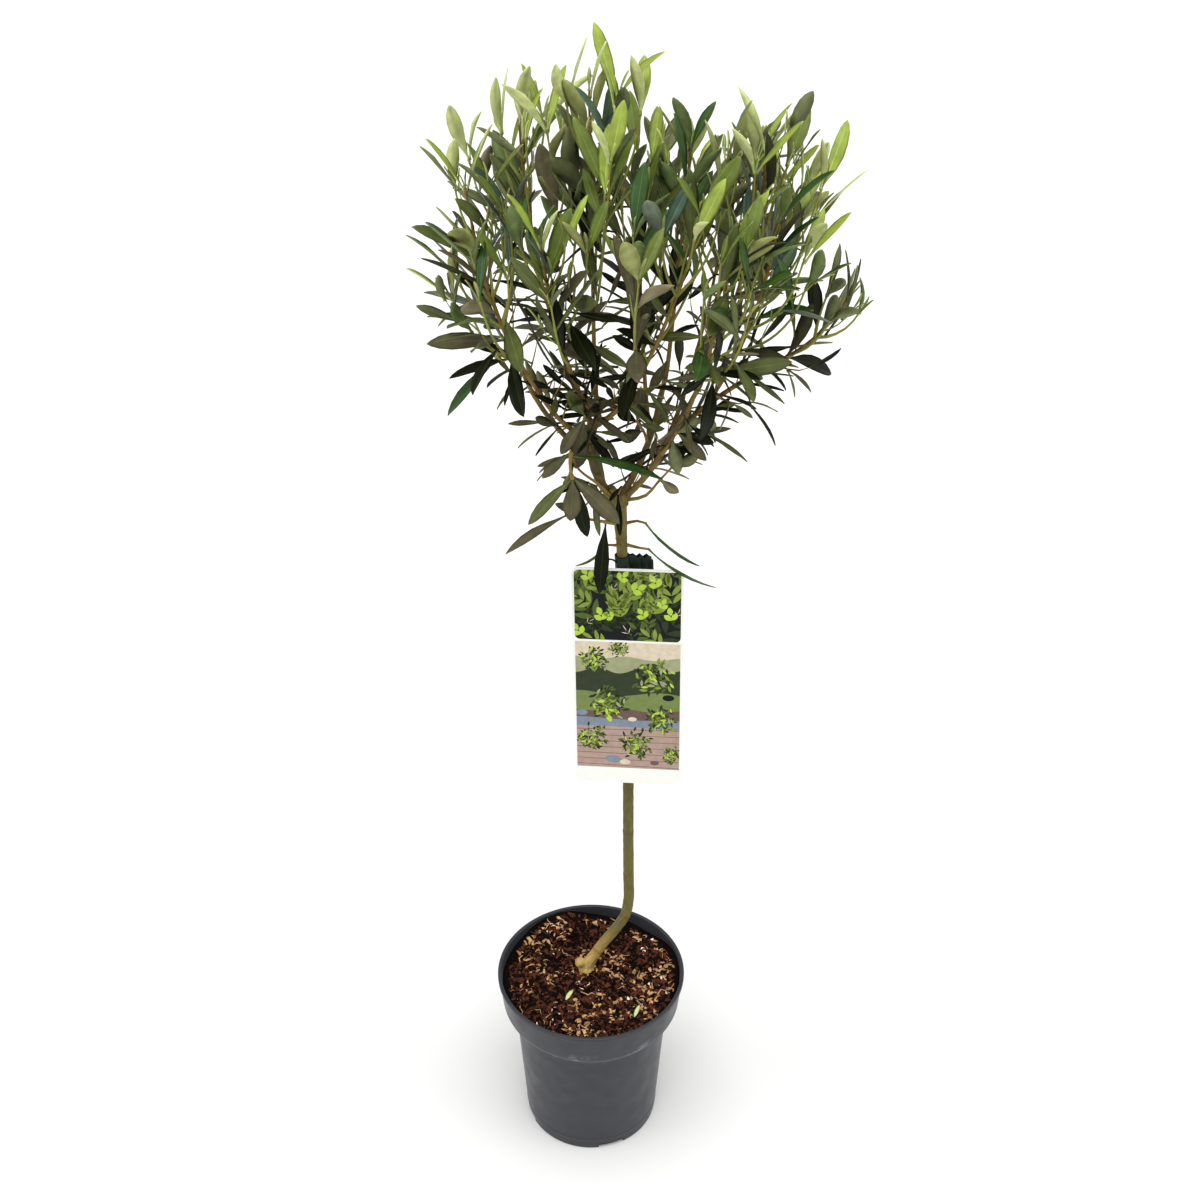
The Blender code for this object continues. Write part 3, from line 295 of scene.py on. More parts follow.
LEAF_SPREAD = 0.6                 # half width there, as a share of the width
LEAF_TEST_PLACES = ((0.25, 0.0), (0.5, 0.5), (0.5, -0.5), (0.78, 0.3), (0.78, -0.3), (1.0, 0.0))
LEAF_CLEARANCE = 0.0012           # of limbs
LEAF_ROOT = 0.00012               # from its twig's middle, so well sunk
LEAF_TRIES = (0.0, 28.0, -28.0, 56.0, -56.0)
LEAF_LOSS = (0.12, 0.18)          # always, and more at a twig's foot
DROOP_SCATTER = (0.5, 1.2)
DROOP_TIP_LOSS = 0.6              # share of the droop that the last pair lacks
SHADE_HEIGHTS = (0.60, 0.75)      # leaves droop below, are young above
SHADE_DROOP = 0.40
# Lower leaves are dealt older, darker tints and higher ones younger, lighter ones: partly how old they
# really are, partly painted shade low in the crown and painted light at its top.
AGE_AND_SHADE_HEIGHTS = (0.62, 0.775)       # leaves are oldest below, youngest above
AGE_OLDEST = 1.15                 # in the shade at a twig's foot, less with:
AGE_LIGHT = 0.6
AGE_TIP = 0.5
CELL_MARGIN = 0.0008              # each mass keeps this far inside its space

# Crown: the outline that twigs and leaves keep inside, about its own axis.
CROWN_X, CROWN_Y = 0.030, 0.006
CROWN_HEIGHTS = (0.44, 0.50, 0.545, 0.58, 0.62, 0.66, 0.70, 0.74, 0.77, 0.795, 0.812)
CROWN_RADII = (0.030, 0.085, 0.098, 0.110, 0.122, 0.130, 0.134, 0.134, 0.126, 0.100, 0.044)

# Label and strap, as the solids have them.
BAND_TOP = 0.4950
BAND_BOTTOM = 0.4800
BAND_THICKNESS = 0.0009
BAND_CLEARANCE = 0.00048
BAND_TAIL = 0.0150
BAND_TAIL_STEP = 0.0020
BAND_TAIL_APART = 0.0018
STRAP_STEPS = 48
STRAP_TOP = 0.4912                # its edge, below the solid band's top
STRAP_ROUNDING = 0.0003           # of its edges
SECOND_TAIL_LIFT = 0.6            # of the first tail's
# Folds of the tails: (share of their length, shift toward the back, lift).
STRAP_FOLDS = (
    (0.06, 0.0, 0.0), (0.22, 0.0005, 0.0006), (0.36, -0.0006, -0.0012), (0.50, 0.0009, 0.0004),
    (0.64, -0.0004, -0.0018), (0.80, 0.0011, -0.0002), (0.93, 0.0002, -0.0026), (1.0, 0.0008, -0.0034),
)
# The thin tie's loop left of the stem, from the stem's middle at its height.
TIE_LINE = (
    (-0.0035, -0.0030, 0.4868), (-0.0062, -0.0040, 0.4898), (-0.0092, -0.0042, 0.4902),
    (-0.0112, -0.0040, 0.4876), (-0.0116, -0.0038, 0.4845),
)
TIE_STEPS = 20
TIE_RADIUS = 0.0006
TIE_SIDES = 8
CARD_WIDTH = 0.0728
CARD_HEIGHT = 0.160
CARD_THICKNESS = 0.0007
CARD_CORNER = 0.0050
CARD_EDGE = 0.00012               # width of the bevel round its faces
CARD_ASIDE = 0.0037               # its middle, to the right of the stem
CARD_TOP = 0.4845
CARD_YAW = 6.3                    # degrees, the right edge nearer
CARD_LEAN = 6.0                   # degrees, the foot nearer
CARD_ROLL = -1.3                  # degrees clockwise, seen from the front
LABEL_CLEARANCE = 0.003
BAND_DEPTH = 0.016

# The print: a dark panel of sprigs over a field of bands, tufts and pebbles.
CARD_BORDER = 0.0018              # bare card round the print
CARD_FOOT = 0.0120                # and below it
PANEL_SHARE = 0.338               # of the print's height
DIVIDER = 0.0016
INK_HEIGHT = 0.00002              # each layer's step, drawn thicker to stay apart
WAVE_STEPS = 40
BLADE_STEPS = 6
BLADE_POINT = 0.9                 # power of its sine outline
SPRIG_SPACING = 0.5               # blade lengths between pairs
SPRIG_OPENING = 46.0              # degrees
SPRIG_LEAN = 70.0
SPRIG_BELOW = 0.004               # how far under the panel one may start
SPRIG_UNDER = 0.002               # and how close to its top
PLANK_FAN = 0.0004                # each line's tilt over the one below
PEBBLE_STEPS = 16
PEBBLE_FLATNESS = 0.55
TUFT_REACH = 0.72
TUFT_CLOSENESS = 0.7
TUFT_BLADES = (0.24, 0.40)        # lengths, as shares of the tuft's radius
TUFT_ASPECT = 0.36
PRINT_SEED = 31
# Sprigs of the upper panel, one colour over another: (colour, number, pairs,
# blade lengths, width over length).
SPRIGS = (
    ("pine", 15, 3, (0.010, 0.015), 0.30),
    ("deep", 14, 3, (0.009, 0.014), 0.30),
    ("night", 3, 2, (0.007, 0.011), 0.34),
    ("leaf", 17, 2, (0.008, 0.012), 0.32),
    ("deep", 5, 2, (0.006, 0.009), 0.34),
    ("lime", 10, 1, (0.0045, 0.0070), 0.62),
    ("mist", 5, 1, (0.003, 0.005), 0.12),
)
# Bands of the lower field: (share of its height, wave height, waves, start,
# colour) from below, the last up to its top.
BANDS = (
    (0.33, 0.0006, 0.5, 0.10, "clay"),
    (0.40, 0.0008, 0.7, 0.30, "dusk"),
    (0.47, 0.0012, 1.6, 0.55, "umber"),
    (0.60, 0.0016, 1.3, 0.20, "grass"),
    (0.78, 0.0020, 2.4, 0.75, "hedge"),
    (0.88, 0.0012, 1.8, 0.40, "sage"),
    (1.00, 0.0, 1.0, 0.0, "mist"),
)
PLANKS = 7                        # lines across the lowest band
PLANK_LINE = 0.00035
# Tufts on the lower field: (x, share of its height, radius).
TUFTS = (
    (-0.022, 0.86, 0.0110), (0.017, 0.74, 0.0150), (-0.013, 0.53, 0.0145), (0.022, 0.40, 0.0120),
    (-0.024, 0.24, 0.0110), (0.006, 0.20, 0.0125), (0.030, 0.12, 0.0080), (-0.006, 0.95, 0.0070),
)
TUFT_PASSES = (("pine", 60), ("deep", 34), ("leaf", 20), ("sage", 7), ("lime", 9))
# Pebbles, a little flattened: (x, share of the height, size, colour).
PEBBLES = (
    (-0.010, 0.07, 0.0052, "dusk"), (-0.002, 0.05, 0.0036, "mist"), (0.018, 0.05, 0.0030, "umber"),
    (-0.031, 0.44, 0.0040, "dusk"), (0.003, 0.40, 0.0030, "mist"), (0.027, 0.58, 0.0040, "night"),
)

# Finer growth: short spurs on the twigs, small leaves, buds, inner shoots.
FINER_SEED = 400
SPUR_SPACING = 0.055
SPUR_PLACES = (0.2, 0.8)          # where in its own stretch of the twig
SPUR_OPENING = 45.0
SPUR_BEND = 0.8
SPUR_LENGTHS = (0.014, 0.034)
SPUR_STEPS = 3
SPUR_CLEARANCE = 0.0015
SPUR_RADII = (0.0006, 0.0004)
SMALL_LEAF_SPACING = 0.013
SMALL_LEAF_FIRST = 0.35           # share of its spur where the first pair sits
SMALL_LEAF_LENGTHS = (0.024, 0.040)
BUD_LENGTHS = (0.008, 0.016)
BUD_ASPECT = 0.2
BUD_OPENINGS = (6.0, 20.0)
BUD_SUNK = 0.0006
BUD_CURL = 0.02
INNER_SPACING = 0.012
INNER_STEM_SPACING = 0.024        # on the stems of the masses
INNER_STEM_PIECES = 4             # of them, from below
INNER_PLACES = (0.3, 0.9)         # where in its own stretch of the wood
INNER_OPENINGS = (40.0, 70.0)
INNER_START = 0.6                 # share of the bearer's radius
INNER_BEND = 0.5
INNER_DROOP = 0.35
INNER_LENGTHS = (0.010, 0.025)
INNER_NARROWING = 0.7

# The blade of a leaf.
LEAF_SEED = 90
LEAF_STATIONS = (0.0, 0.07, 0.18, 0.33, 0.52, 0.70, 0.85, 0.95, 1.0)
LEAF_PETIOLE = 0.07               # share of the length that is stalk
LEAF_BROADEST = 0.57
LEAF_POINT = 0.78                 # less is blunter
PETIOLE_HALF = 0.0006
PETIOLE_TAPER = 0.8
RIB_HALF = 0.00032
RIB_REACH = 1.2                   # leaf lengths at which its taper would end
RIB_SHARE = 0.4                   # of the half width, at most
FOLD_EASE = 0.22                  # share of the fold that the edges lose
LEAF_KEEL = 1.5                   # thicknesses, from the rib down to the keel
LEAF_ROW = 0.55                   # of the half width, where a row of points runs
LEAF_RIPPLES = 1.5                # along its edges
# Lowest and highest fold, ripple, ripple's start, twist, sideways bend and
# extra curl of a blade.
LEAF_WARPS = ((0.10, 0.45), (0.0, 0.10), (0.0, 1.0), (-0.35, 0.35), (-0.05, 0.05), (-0.02, 0.08))
LEAF_THICK = 0.0004
PETIOLE_THICK = 0.0010
LEAF_IOR = 1.45
UNDERSIDE_ROUGHNESS = 0.75
UNDERSIDE_SHINE = 0.12
LEAF_GLOW_DEPTH = 0.002
# Tint thresholds: the darker tints that low leaves get are partly painted shade.
TINT_AGE_AND_SHADE_LEVELS = (("young", 0.25), ("fresh", 0.41), ("mature", 0.92), ("shade", 9.0))
TINT_SIDES = ("upper", "under", "rib")
# Each tint: the colours of its upper side, underside and midrib, the roughness
# and shine of its upper side, and the whole leaf's glow.
Tint = namedtuple("Tint", "upper under rib roughness shine glow what")
TINTS = {
    "young": Tint("#8b9c46", "#c3cf93", "#a9ba68", 0.42, 0.35, 0.12, "Newest leaves, at the crown's top"),
    "fresh": Tint("#647333", "#959b66", "#7e8d4c", 0.38, 0.35, 0.06, "Leaves a few weeks old"),
    "deep": Tint("#334f20", "#788759", "#5b7440", 0.34, 0.45, 0.0, "Sprays of a fuller green"),
    "mature": Tint("#535a31", "#777c5a", "#6a7149", 0.36, 0.35, 0.0, "Most of the crown's leaves"),
    # The shade tint's near-black upper side and dark underside are painted shade, for leaves low and deep
    # inside the crown.
    "shade": Tint("#191d0c", "#4c4b38", "#353b26", 0.38, 0.15, 0.0, "Old leaves low in the crown"),
    "bluish": Tint("#465b4d", "#71796a", "#6c8069", 0.44, 0.35, 0.0, "Sprays with a waxy bloom"),
    "dry": Tint("#5a553f", "#888167", "#646a50", 0.55, 0.20, 0.0, "Dull old leaves round the fork"),
}
CASTS = (("bluish", 0.10), ("dry", 0.12), ("deep", 0.26))   # shares of the sprays
CASTS_OF = {"fresh": ("bluish", "deep"), "mature": ("bluish", "dry", "deep")}
TINT_SEED = 700
SPRAY_TONE = 0.12
PLACED_TINTS = {                  # of the placed sprays, leaf by leaf in turn
    "foliage_low_left": ("dry", "mature", "dry", "shade", "dry", "mature", "deep"),
    "foliage_hanging": ("dry", "shade", "dry"),
    "foliage_sprout_left": ("mature", "deep"),
    "foliage_sprout_right": ("deep", "mature"),
    "foliage_sprout_low": ("deep",),
    "foliage_low_right": ("dry", "mature", "shade"),
    "foliage_low_side": ("mature", "dry", "shade"),
    "foliage_low_middle": ("shade", "dry", "mature"),
    "foliage_low_front": ("dry", "shade", "mature"),
}
SMALL_LEAF_TONE = 0.10
THIN_HEIGHT = 0.66                # above it the crown is thinned
THIN_SHARES = (0.10, 0.30)        # of its leaves, and of its small leaves
YOUNG_BUD_HEIGHT = 0.73
# The inner leaves are mostly dealt the shade tint: painted shade deep inside the crown.
INNER_TINTS = (("shade", 0.45), ("dry", 0.70), ("mature", 1.0))   # dealt to the inner leaves

# How each surface was made, told by its patches and its relief: the patches'
# size, the noise levels they lie between, their darkest and lightest share of
# the colour, and the size, height and strength of the relief. The relief of
# plastic, card and ink is finer in truth, and coarse enough here to show.
Finish = namedtuple("Finish", "patch levels shares grain height strength")
FINISHES = {
    "leaf_upper": Finish(0.008, (0.35, 0.65), (0.82, 1.14), 0.0016, 0.00012, 0.5),
    "leaf_under": Finish(0.008, (0.35, 0.65), (0.82, 1.14), 0.0016, 0.00012, 0.3),
    "twig": Finish(0.009, (0.45, 0.75), None, 0.0012, 0.0002, 0.6),
    "plastic": Finish(0.030, (0.30, 0.70), (0.93, 1.07), 0.0011, 0.00006, 0.7),
    "compost": Finish(0.003, (0.35, 0.65), (0.65, 1.35), 0.0010, 0.0004, 1.0),
    "chips": Finish(0.006, (0.35, 0.65), (0.60, 1.50), 0.0010, 0.0004, 1.0),
    "clipping": Finish(0.003, (0.35, 0.65), (0.85, 1.10), 0.0010, 0.0004, 1.0),
    "ink": Finish(0.004, (0.30, 0.70), (0.90, 1.08), 0.0006, 0.00002, 0.5),
    "card": Finish(0.006, (0.30, 0.70), (0.97, 1.00), 0.0006, 0.00002, 0.5),
    "strap": Finish(0.006, (0.30, 0.70), (0.85, 1.15), 0.0008, 0.0001, 0.7),
}
DRAWING_STRETCH = (0.1, 0.1, 1.0)  # of the strap's relief, so that it runs along it

# Twigs and bark.
TWIG_STEP = 0.006
TWIG_SAMPLES = 60                 # tried for the place nearest to a leaf's root
TWIG_THINNING = 0.7               # at the tip, over the rule's own
STEM_THINNING = 0.75              # for the masses' own stems
NODE_LENGTH = 0.0012              # of the swelling that bears a pair of leaves
NODE_SWELL = 0.00025
NODE_REACH = 2 * LEAF_ROOT + 0.0008
TWIG_SUNK = 0.002
BARK_STEP = 0.003
BARK_SIDES = 14
STEM_SUNK = 0.005
FOOT_WIDENING = 1.25              # of the stem, below the soil
SKIN_EASE = (0.5, 5)              # factor and rounds of smoothing
COLLAR = 0.18                     # a limb's swelling where it leaves another
COLLAR_LENGTH = 0.004
# Pruned stubs: (parent, share, azimuth, rise, length, diameter).
STUBS = (
    ("stem", 0.992, 232, 52, 0.012, 0.0044),
    ("stem", 0.975, 318, 40, 0.008, 0.0036),
    ("bough_left", 0.30, 262, 50, 0.009, 0.0030),
    ("bough_right", 0.36, 214, 56, 0.008, 0.0030),
    ("bough_left", 0.84, 30, 60, 0.010, 0.0026),
)
HEAD_SUNK = 0.004                 # the head's burl, below the stem's end
HEAD_FLATTENING = 0.9
FLARE_FLATTENING = 0.7
# Root flares at the foot: (azimuth, distance out, radius).
ROOT_FLARES = ((20.0, 0.0030, 0.0042), (110.0, 0.0028, 0.0038), (290.0, 0.0030, 0.0040))
RING_SPACING = 0.020              # of the rings where leaves once grew
RING_WIDTH = 0.0012
RING_SHIFT = 0.37                 # of their spacing, from limb to limb
RING_TINT = 0.40
LIMBS_APART = 0.05                # in the streaks' noise, so that each limb has its own
STREAK_SIZE = 0.0012
STREAK_HEIGHT = 0.0003
STREAK_STRENGTH = 0.8
STREAK_STRETCH = 0.22             # their width over their length
STREAK_SHARES = (0.72, 1.22)      # of the bark's colour, in and between streaks
PATCH_SIZE = 0.006                # of the greyer patches
PATCH_LEVELS = (0.52, 0.68)       # of the noise, where they fade in
PATCH_TINT = 0.7
RING_LIFT = 0.9                   # over the streaks'
PORE_SIZE = 0.002
PORE_LEVEL = 0.35                 # of the noise, above which a pore stands out
PORE_LIFT = 2.4                   # over the streaks', for each step above that level
BARK_HEIGHTS = (SOIL_TOP_HEIGHT, 0.70)
BARK_STOPS = (                    # (height, colour, brightness) up the tree
    (0.132, "bark_tan", 1.40),
    (0.143, "bark_tan", 1.30),
    (0.155, "bark_tan", 0.92),
    (0.172, "bark_olive", 0.95),
    (0.330, "bark_olive", 0.80),
    (0.500, "bark_olive", 0.95),
    (0.560, "bark_tan", 0.62),
    (0.660, "bark_tan", 0.80),
)

# Pot and soil finish.
SCUFF_MIDDLE = (POT_BAND_HEIGHT + POT_WALL_HEIGHT) / 2 + 0.001
SCUFF_REACH = (0.004, 0.013)      # full within the first, gone at the second
SCUFF_SIZE = 0.014
SCUFF_LEVELS = (0.56, 0.72)       # of the noise, where a scuff fades in
SPECK_LEVELS = (0.70, 0.74)       # and where a speck of dirt does
DIRT_FULL = 0.2                   # share of the dirt's height where it is thickest
POT_ROUGHNESS = (0.40, 0.56)
EARTH_SHINE = 0.15
SWELL_SIZE = 0.022                # of the soil's relief
CRUMB_SIZE = 0.004
CRUMB_SHARE = 0.5                 # of the relief's height
SWELL_SUNK = 0.8                  # its middle, under the level
# Heaps and hollows of the soil: (x, y, size, rise).
HEAPS = ((-0.028, 0.054, 0.024, 0.0062), (0.036, 0.050, 0.018, -0.0020), (0.060, 0.016, 0.020, 0.0038),
         (-0.050, 0.012, 0.018, -0.0012), (0.006, -0.050, 0.020, 0.0010))
STREWN_MARGIN = 0.0035            # kept clear inside the pot's wall
STREWN_DEPTH = 0.0080             # under the soil's edge, the deepest that is strewn
CLUSTER_SIZE = 0.016              # of the patches where a kind lies
CHIP_VARIANTS = 9
CHIP_CORNERS = 11
CHIP_RADII = (0.36, 0.5)          # of its length, from its middle to a corner
CHIP_LEAN = 0.5                   # radians from lying flat, at most
FIBRE_RADIUS = 0.045              # of a fibre's length
FIBRE_TAPERS = (0.6, 1.0, 1.0, 0.8, 0.4)
FIBRE_WANDER = 0.22               # sideways, from point to point
FIBRE_LOWNESS = 0.5               # of that wander, upward
CHIP_SHAPES = {
    "flake": (1.0, 0.55, 0.22),
    "grain": (1.0, 0.85, 0.80),
}
CURL_ARC = (60.0, 150.0)          # degrees that a curled shaving bends
CURL_WIDTHS = (0.07, 0.17)        # halves, over its length
CURL_THICKNESS = 0.30             # of its width
CURL_TAPERS = (0.45, 1.0, 0.9, 1.0, 0.35)  # of its width, from end to end
CURL_SCATTER = (0.8, 1.2)
# Strewn on the soil: (name, colour, shape, number, smallest, largest, how
# thinly it is clustered, seed).
STREWN = (
    ("dark_chips", "dark_chip", "flake", 1600, 0.0018, 0.0046, None, 11),
    ("dark_curls", "dark_chip", "curl", 1700, 0.0034, 0.0086, None, 17),
    ("brown_curls", "brown_chip", "curl", 1600, 0.0032, 0.0092, None, 12),
    ("brown_chips", "brown_chip", "flake", 300, 0.0014, 0.0036, None, 18),
    ("tan_curls", "tan_chip", "curl", 540, 0.0032, 0.0092, -0.05, 13),
    ("tan_chips", "tan_chip", "flake", 200, 0.0012, 0.0030, None, 19),
    ("red_fibres", "red_chip", "fibre", 110, 0.0040, 0.0080, None, 14),
    ("tan_fibres", "tan_chip", "fibre", 60, 0.0060, 0.0130, None, 15),
    ("perlite_fine", "perlite", "grain", 90, 0.0008, 0.0018, None, 16),
    ("perlite", "perlite", "grain", 60, 0.0018, 0.0048, 0.15, 20),
)
CLIPPING_WIDTHS = (0.3, 0.9, 1.0, 0.8, 0.2)  # from foot to tip
CLIPPING_SIDES = 8
CLIPPING_LIFT = 0.0022
CLIPPING_ARCH = 0.0006
CLIPPING_RISE = 4.0
CLIPPING_FLATNESS = 0.25
# Clippings: (x, y, azimuth, length, width).
CLIPPINGS = ((-0.016, -0.020, 62.0, 0.011, 0.0035), (0.034, -0.036, 70.0, 0.012, 0.0032))

# Stage.
FLOOR_SIZE = 24.0
CAMERA_LENS = 45.0
CAMERA_PLACE = (0.0068, -0.8229, 0.9633)
CAMERA_PITCH = 31.21              # degrees below level
# Lamps, far and soft: (name, direction it shines from, spread, strength).
LAMPS = (
    ("key", (0.0, -0.35, 2.0), 50.0, 2.2),
    ("front", (-0.1, -1.5, 0.8), 60.0, 0.60),
    ("left_strip", (-2.0, -0.5, 0.4), 40.0, 1.0),
    ("right_strip", (2.0, -0.5, 0.4), 40.0, 1.0),
)


# ---------------------------------------------------------------- directions

def unit(vector):
    return vector / np.linalg.norm(vector)


def heading(azimuth, rise):
    """The direction at an azimuth from +X and a rise from level, in degrees."""
    a, r = radians(azimuth), radians(rise)
    return np.array((cos(a) * cos(r), sin(a) * cos(r), sin(r)))


def turned(vector, axis, angle):
    """The vector turned about a unit axis by an angle in degrees."""
    t = radians(angle)
    return vector * cos(t) + np.cross(axis, vector) * sin(t) + axis * np.dot(axis, vector) * (1 - cos(t))


def square_to(direction):
    """A unit vector square to a direction, level where that is possible."""
    side = np.cross(direction, UP)
    if np.linalg.norm(side) < 0.05:
        side = np.cross(direction, np.array((0.0, 1.0, 0.0)))
    return unit(side)


def sideways(way, turn):
    """The unit vector square to a unit way, so many degrees round it."""
    return turned(square_to(way), way, turn)


def leaning(way, out, opening):
    """The direction that opens from a way to one side, by an angle in degrees."""
    return unit(way * cos(radians(opening)) + out * sin(radians(opening)))


# --------------------------------------------------------------------- paths

def rising_path(start, azimuth, first_rise, last_rise, length, steps):
    """Points from start, with the rise going evenly from first to last."""
    points = [np.asarray(start, float)]
    for k in range(steps):
        rise = first_rise + (last_rise - first_rise) * (k + 0.5) / steps
        points.append(points[-1] + heading(azimuth, rise) * length / steps)
    return np.array(points)


def bending_path(start, direction, goal, bend, length, steps):
    """Points that set off in a direction and turn toward a goal direction."""
    points = [np.asarray(start, float)]
    for k in range(steps):
        way = unit(direction + (goal - direction) * bend * (k + 0.5) / steps)
        points.append(points[-1] + way * length / steps)
    return np.array(points)


def run_lengths(path):
    """How far along the path each of its points lies."""
    return np.concatenate(([0.0], np.cumsum(np.linalg.norm(np.diff(path, axis=0), axis=1))))


def along_path(path, share):
    """The point at a share of the path's length, and the path's way there."""
    runs = run_lengths(path)
    here = share * runs[-1]
    point = np.array([np.interp(here, runs, path[:, k]) for k in range(3)])
    after = int(np.clip(np.searchsorted(runs, here), 1, len(path) - 1))
    return point, unit(path[after] - path[after - 1])


def distances(points, starts, ends):
    """The distance from each point to each straight piece, as a table."""
    run = ends - starts
    share = np.einsum("pij,ij->pi", points[:, None] - starts, run) / np.einsum("ij,ij->i", run, run)
    nearest = starts + run * np.clip(share, 0.0, 1.0)[..., None]
    return np.linalg.norm(points[:, None] - nearest, axis=2)


# ---------------------------------------------------------------- growth rule

Twig = namedtuple("Twig", "path radii")
Leaf = namedtuple("Leaf", "root along face length width curl age spray", defaults=(1.0, 0))


def stem_path():
    path = STEM_FOOT[None]
    for length, azimuth, first_rise, last_rise in STEM_STRETCHES:
        steps = ceil(length / STEM_STEP)
        stretch = rising_path(path[-1], azimuth, first_rise, last_rise, length, steps)
        path = np.vstack((path, stretch[1:]))
    return path


def stem_radii(path):
    """The stem's radius at each point: flare, slow taper, swollen head."""
    runs = run_lengths(path)
    total = runs[-1]
    places = (0.0, STEM_FLARE_LENGTH, total - STEM_HEAD_LENGTH * 2, total - STEM_HEAD_LENGTH * 0.6, total)
    sizes = (STEM_FLARE_DIA, STEM_LOW_DIA, STEM_TOP_DIA, STEM_HEAD_DIA, STEM_END_DIA)
    return np.interp(runs, places, sizes) / 2


def limb_paths():
    """The path and radii of the stem and of every limb, by name."""
    stem = stem_path()
    made = {"stem": (stem, stem_radii(stem))}
    for name, limb in LIMBS.items():
        start, _ = along_path(made[limb.parent][0], limb.share)
        path = rising_path(start, limb.azimuth, limb.first_rise, limb.last_rise, limb.length, LIMB_STEPS)
        radii = np.linspace(limb.base_dia, limb.tip_dia, len(path)) / 2
        made[name] = (path, radii)
    return made


def mass_stem(mass, limbs):
    """The path of a mass's own stem, from its limb's tip."""
    carrier = limbs[mass.carrier][0]
    way = unit(carrier[-1] - carrier[-2])
    azimuth = degrees(atan2(way[1], way[0]))
    first_rise = degrees(asin(way[2]))
    return rising_path(carrier[-1] + way * GAP, azimuth, first_rise, mass.last_rise, mass.length, MASS_STEPS)


def placed_twigs(spray, limbs):
    """The paths of a placed spray's twigs, the first out of its carrier."""
    start, _ = along_path(limbs[spray.carrier][0], spray.share)
    return [np.vstack((start, spray.twigs[0]))] + [np.array(points) for points in spray.twigs[1:]]


def placed_leaves(spray, twigs):
    """The leaves of a placed spray, on the paths of its twigs."""
    leaves = []
    for order, share, azimuth, rise, length, width, turn, curl in spray.leaves:
        along = heading(azimuth, rise)
        root = along_path(twigs[order], share)[0] + along * LEAF_ROOT
        face = turned(unit(UP - along * along[2]), along, turn)
        leaves.append(Leaf(root, along, face, length, width, curl))
    return leaves


def crown_spines(limbs):
    """The straight pieces that each mass and spray is grouped about."""
    spines = {}
    for name, mass in MASSES.items():
        path = mass_stem(mass, limbs)
        spines[name] = (path[:-1], path[1:])
    for name, spray in SPRAYS.items():
        paths = placed_twigs(spray, limbs)
        leaves = placed_leaves(spray, paths)
        paths += [leaf_points(leaf, ((0.0, 0.0), (0.5, 0.0), (1.0, 0.0))) for leaf in leaves]
        spines[name] = (np.vstack([p[:-1] for p in paths]), np.vstack([p[1:] for p in paths]))
    return spines


class Space:
    """The share of the crown that belongs to one mass.

    It is what lies nearer to the mass's own stem than to any other mass's or
    spray's, inside the crown's outline and clear of the limbs and the label.
    """

    def __init__(self, name, spines, limbs):
        self.own = spines[name]
        others = [spine for other, spine in spines.items() if other != name]
        self.others = (np.vstack([starts for starts, _ in others]), np.vstack([ends for _, ends in others]))
        starts = np.vstack([path[:-1] for path, _ in limbs.values()])
        ends = np.vstack([path[1:] for path, _ in limbs.values()])
        self.limbs = (starts, ends)
        self.limb_radii = np.concatenate([radii[:-1] for _, radii in limbs.values()])
        self.card = card_frame()

    def open(self, points):
        """Whether every point is inside the crown's outline and off the label."""
        from_axis = np.hypot(points[:, 0] - CROWN_X, points[:, 1] - CROWN_Y)
        if (from_axis > np.interp(points[:, 2], CROWN_HEIGHTS, CROWN_RADII, right=0.0)).any():
            return False
        top, across, down, out = self.card
        aside, below, before = (points - top) @ across, (points - top) @ down, (points - top) @ out
        beside = abs(aside) < CARD_WIDTH / 2 + LABEL_CLEARANCE
        level = (below > CARD_TOP - BAND_TOP - LABEL_CLEARANCE) & (below < CARD_HEIGHT + LABEL_CLEARANCE)
        near = (before > -BAND_DEPTH - LABEL_CLEARANCE) & (before < LABEL_CLEARANCE)
        return not (beside & level & near).any()

    def holds(self, points, clear):
        """Whether every point is in the space and clear of what it must miss."""
        if not self.open(points):
            return False
        own = distances(points, *self.own).min(axis=1)
        if (distances(points, *self.others).min(axis=1) < own + 2 * CELL_MARGIN).any():
            return False
        return bool((distances(points, *self.limbs) > self.limb_radii + clear).all())


def leaf_points(leaf, places):
    """Points on a leaf, at shares of its length and of its width."""
    side = np.cross(leaf.face, leaf.along)
    drop = leaf.face * leaf.curl * leaf.length
    return np.array([
        leaf.root + leaf.along * leaf.length * a + side * leaf.width * b - drop * a * a for a, b in places
    ])


def leaf_tests(leaf):
    """Points on a leaf's outline that have to lie in its mass's space."""
    return leaf_points(leaf, LEAF_TEST_PLACES)


def leaf_frame(leaf):
    """The straight edges and the two halves that stand for a leaf's blade."""
    places = ((0.12, 0.0), (LEAF_WIDEST, LEAF_SPREAD), (1.02, 0.0), (LEAF_WIDEST, -LEAF_SPREAD))
    root, left, tip, right = leaf_points(leaf, places)
    edges = np.array(((root, tip), (root, left), (left, tip), (root, right), (right, tip), (left, right)))
    halves = np.array(((root, left, tip), (root, tip, right)))
    return edges, halves


def pierces(edges, triangles):
    """Whether any straight edge passes through any triangle."""
    start = edges[:, None, 0]
    run = edges[:, None, 1] - start
    corner = triangles[None, :, 0]
    first = triangles[None, :, 1] - corner
    second = triangles[None, :, 2] - corner
    across = np.cross(run, second)
    size = np.sum(first * across, axis=2)
    size = np.where(abs(size) < 1e-15, 1e-15, size)
    offset = start - corner
    u = np.sum(offset * across, axis=2) / size
    turn = np.cross(offset, first)
    v = np.sum(run * turn, axis=2) / size
    t = np.sum(second * turn, axis=2) / size
    return bool(((u > 0) & (v > 0) & (u + v < 1) & (t > 0) & (t < 1)).any())


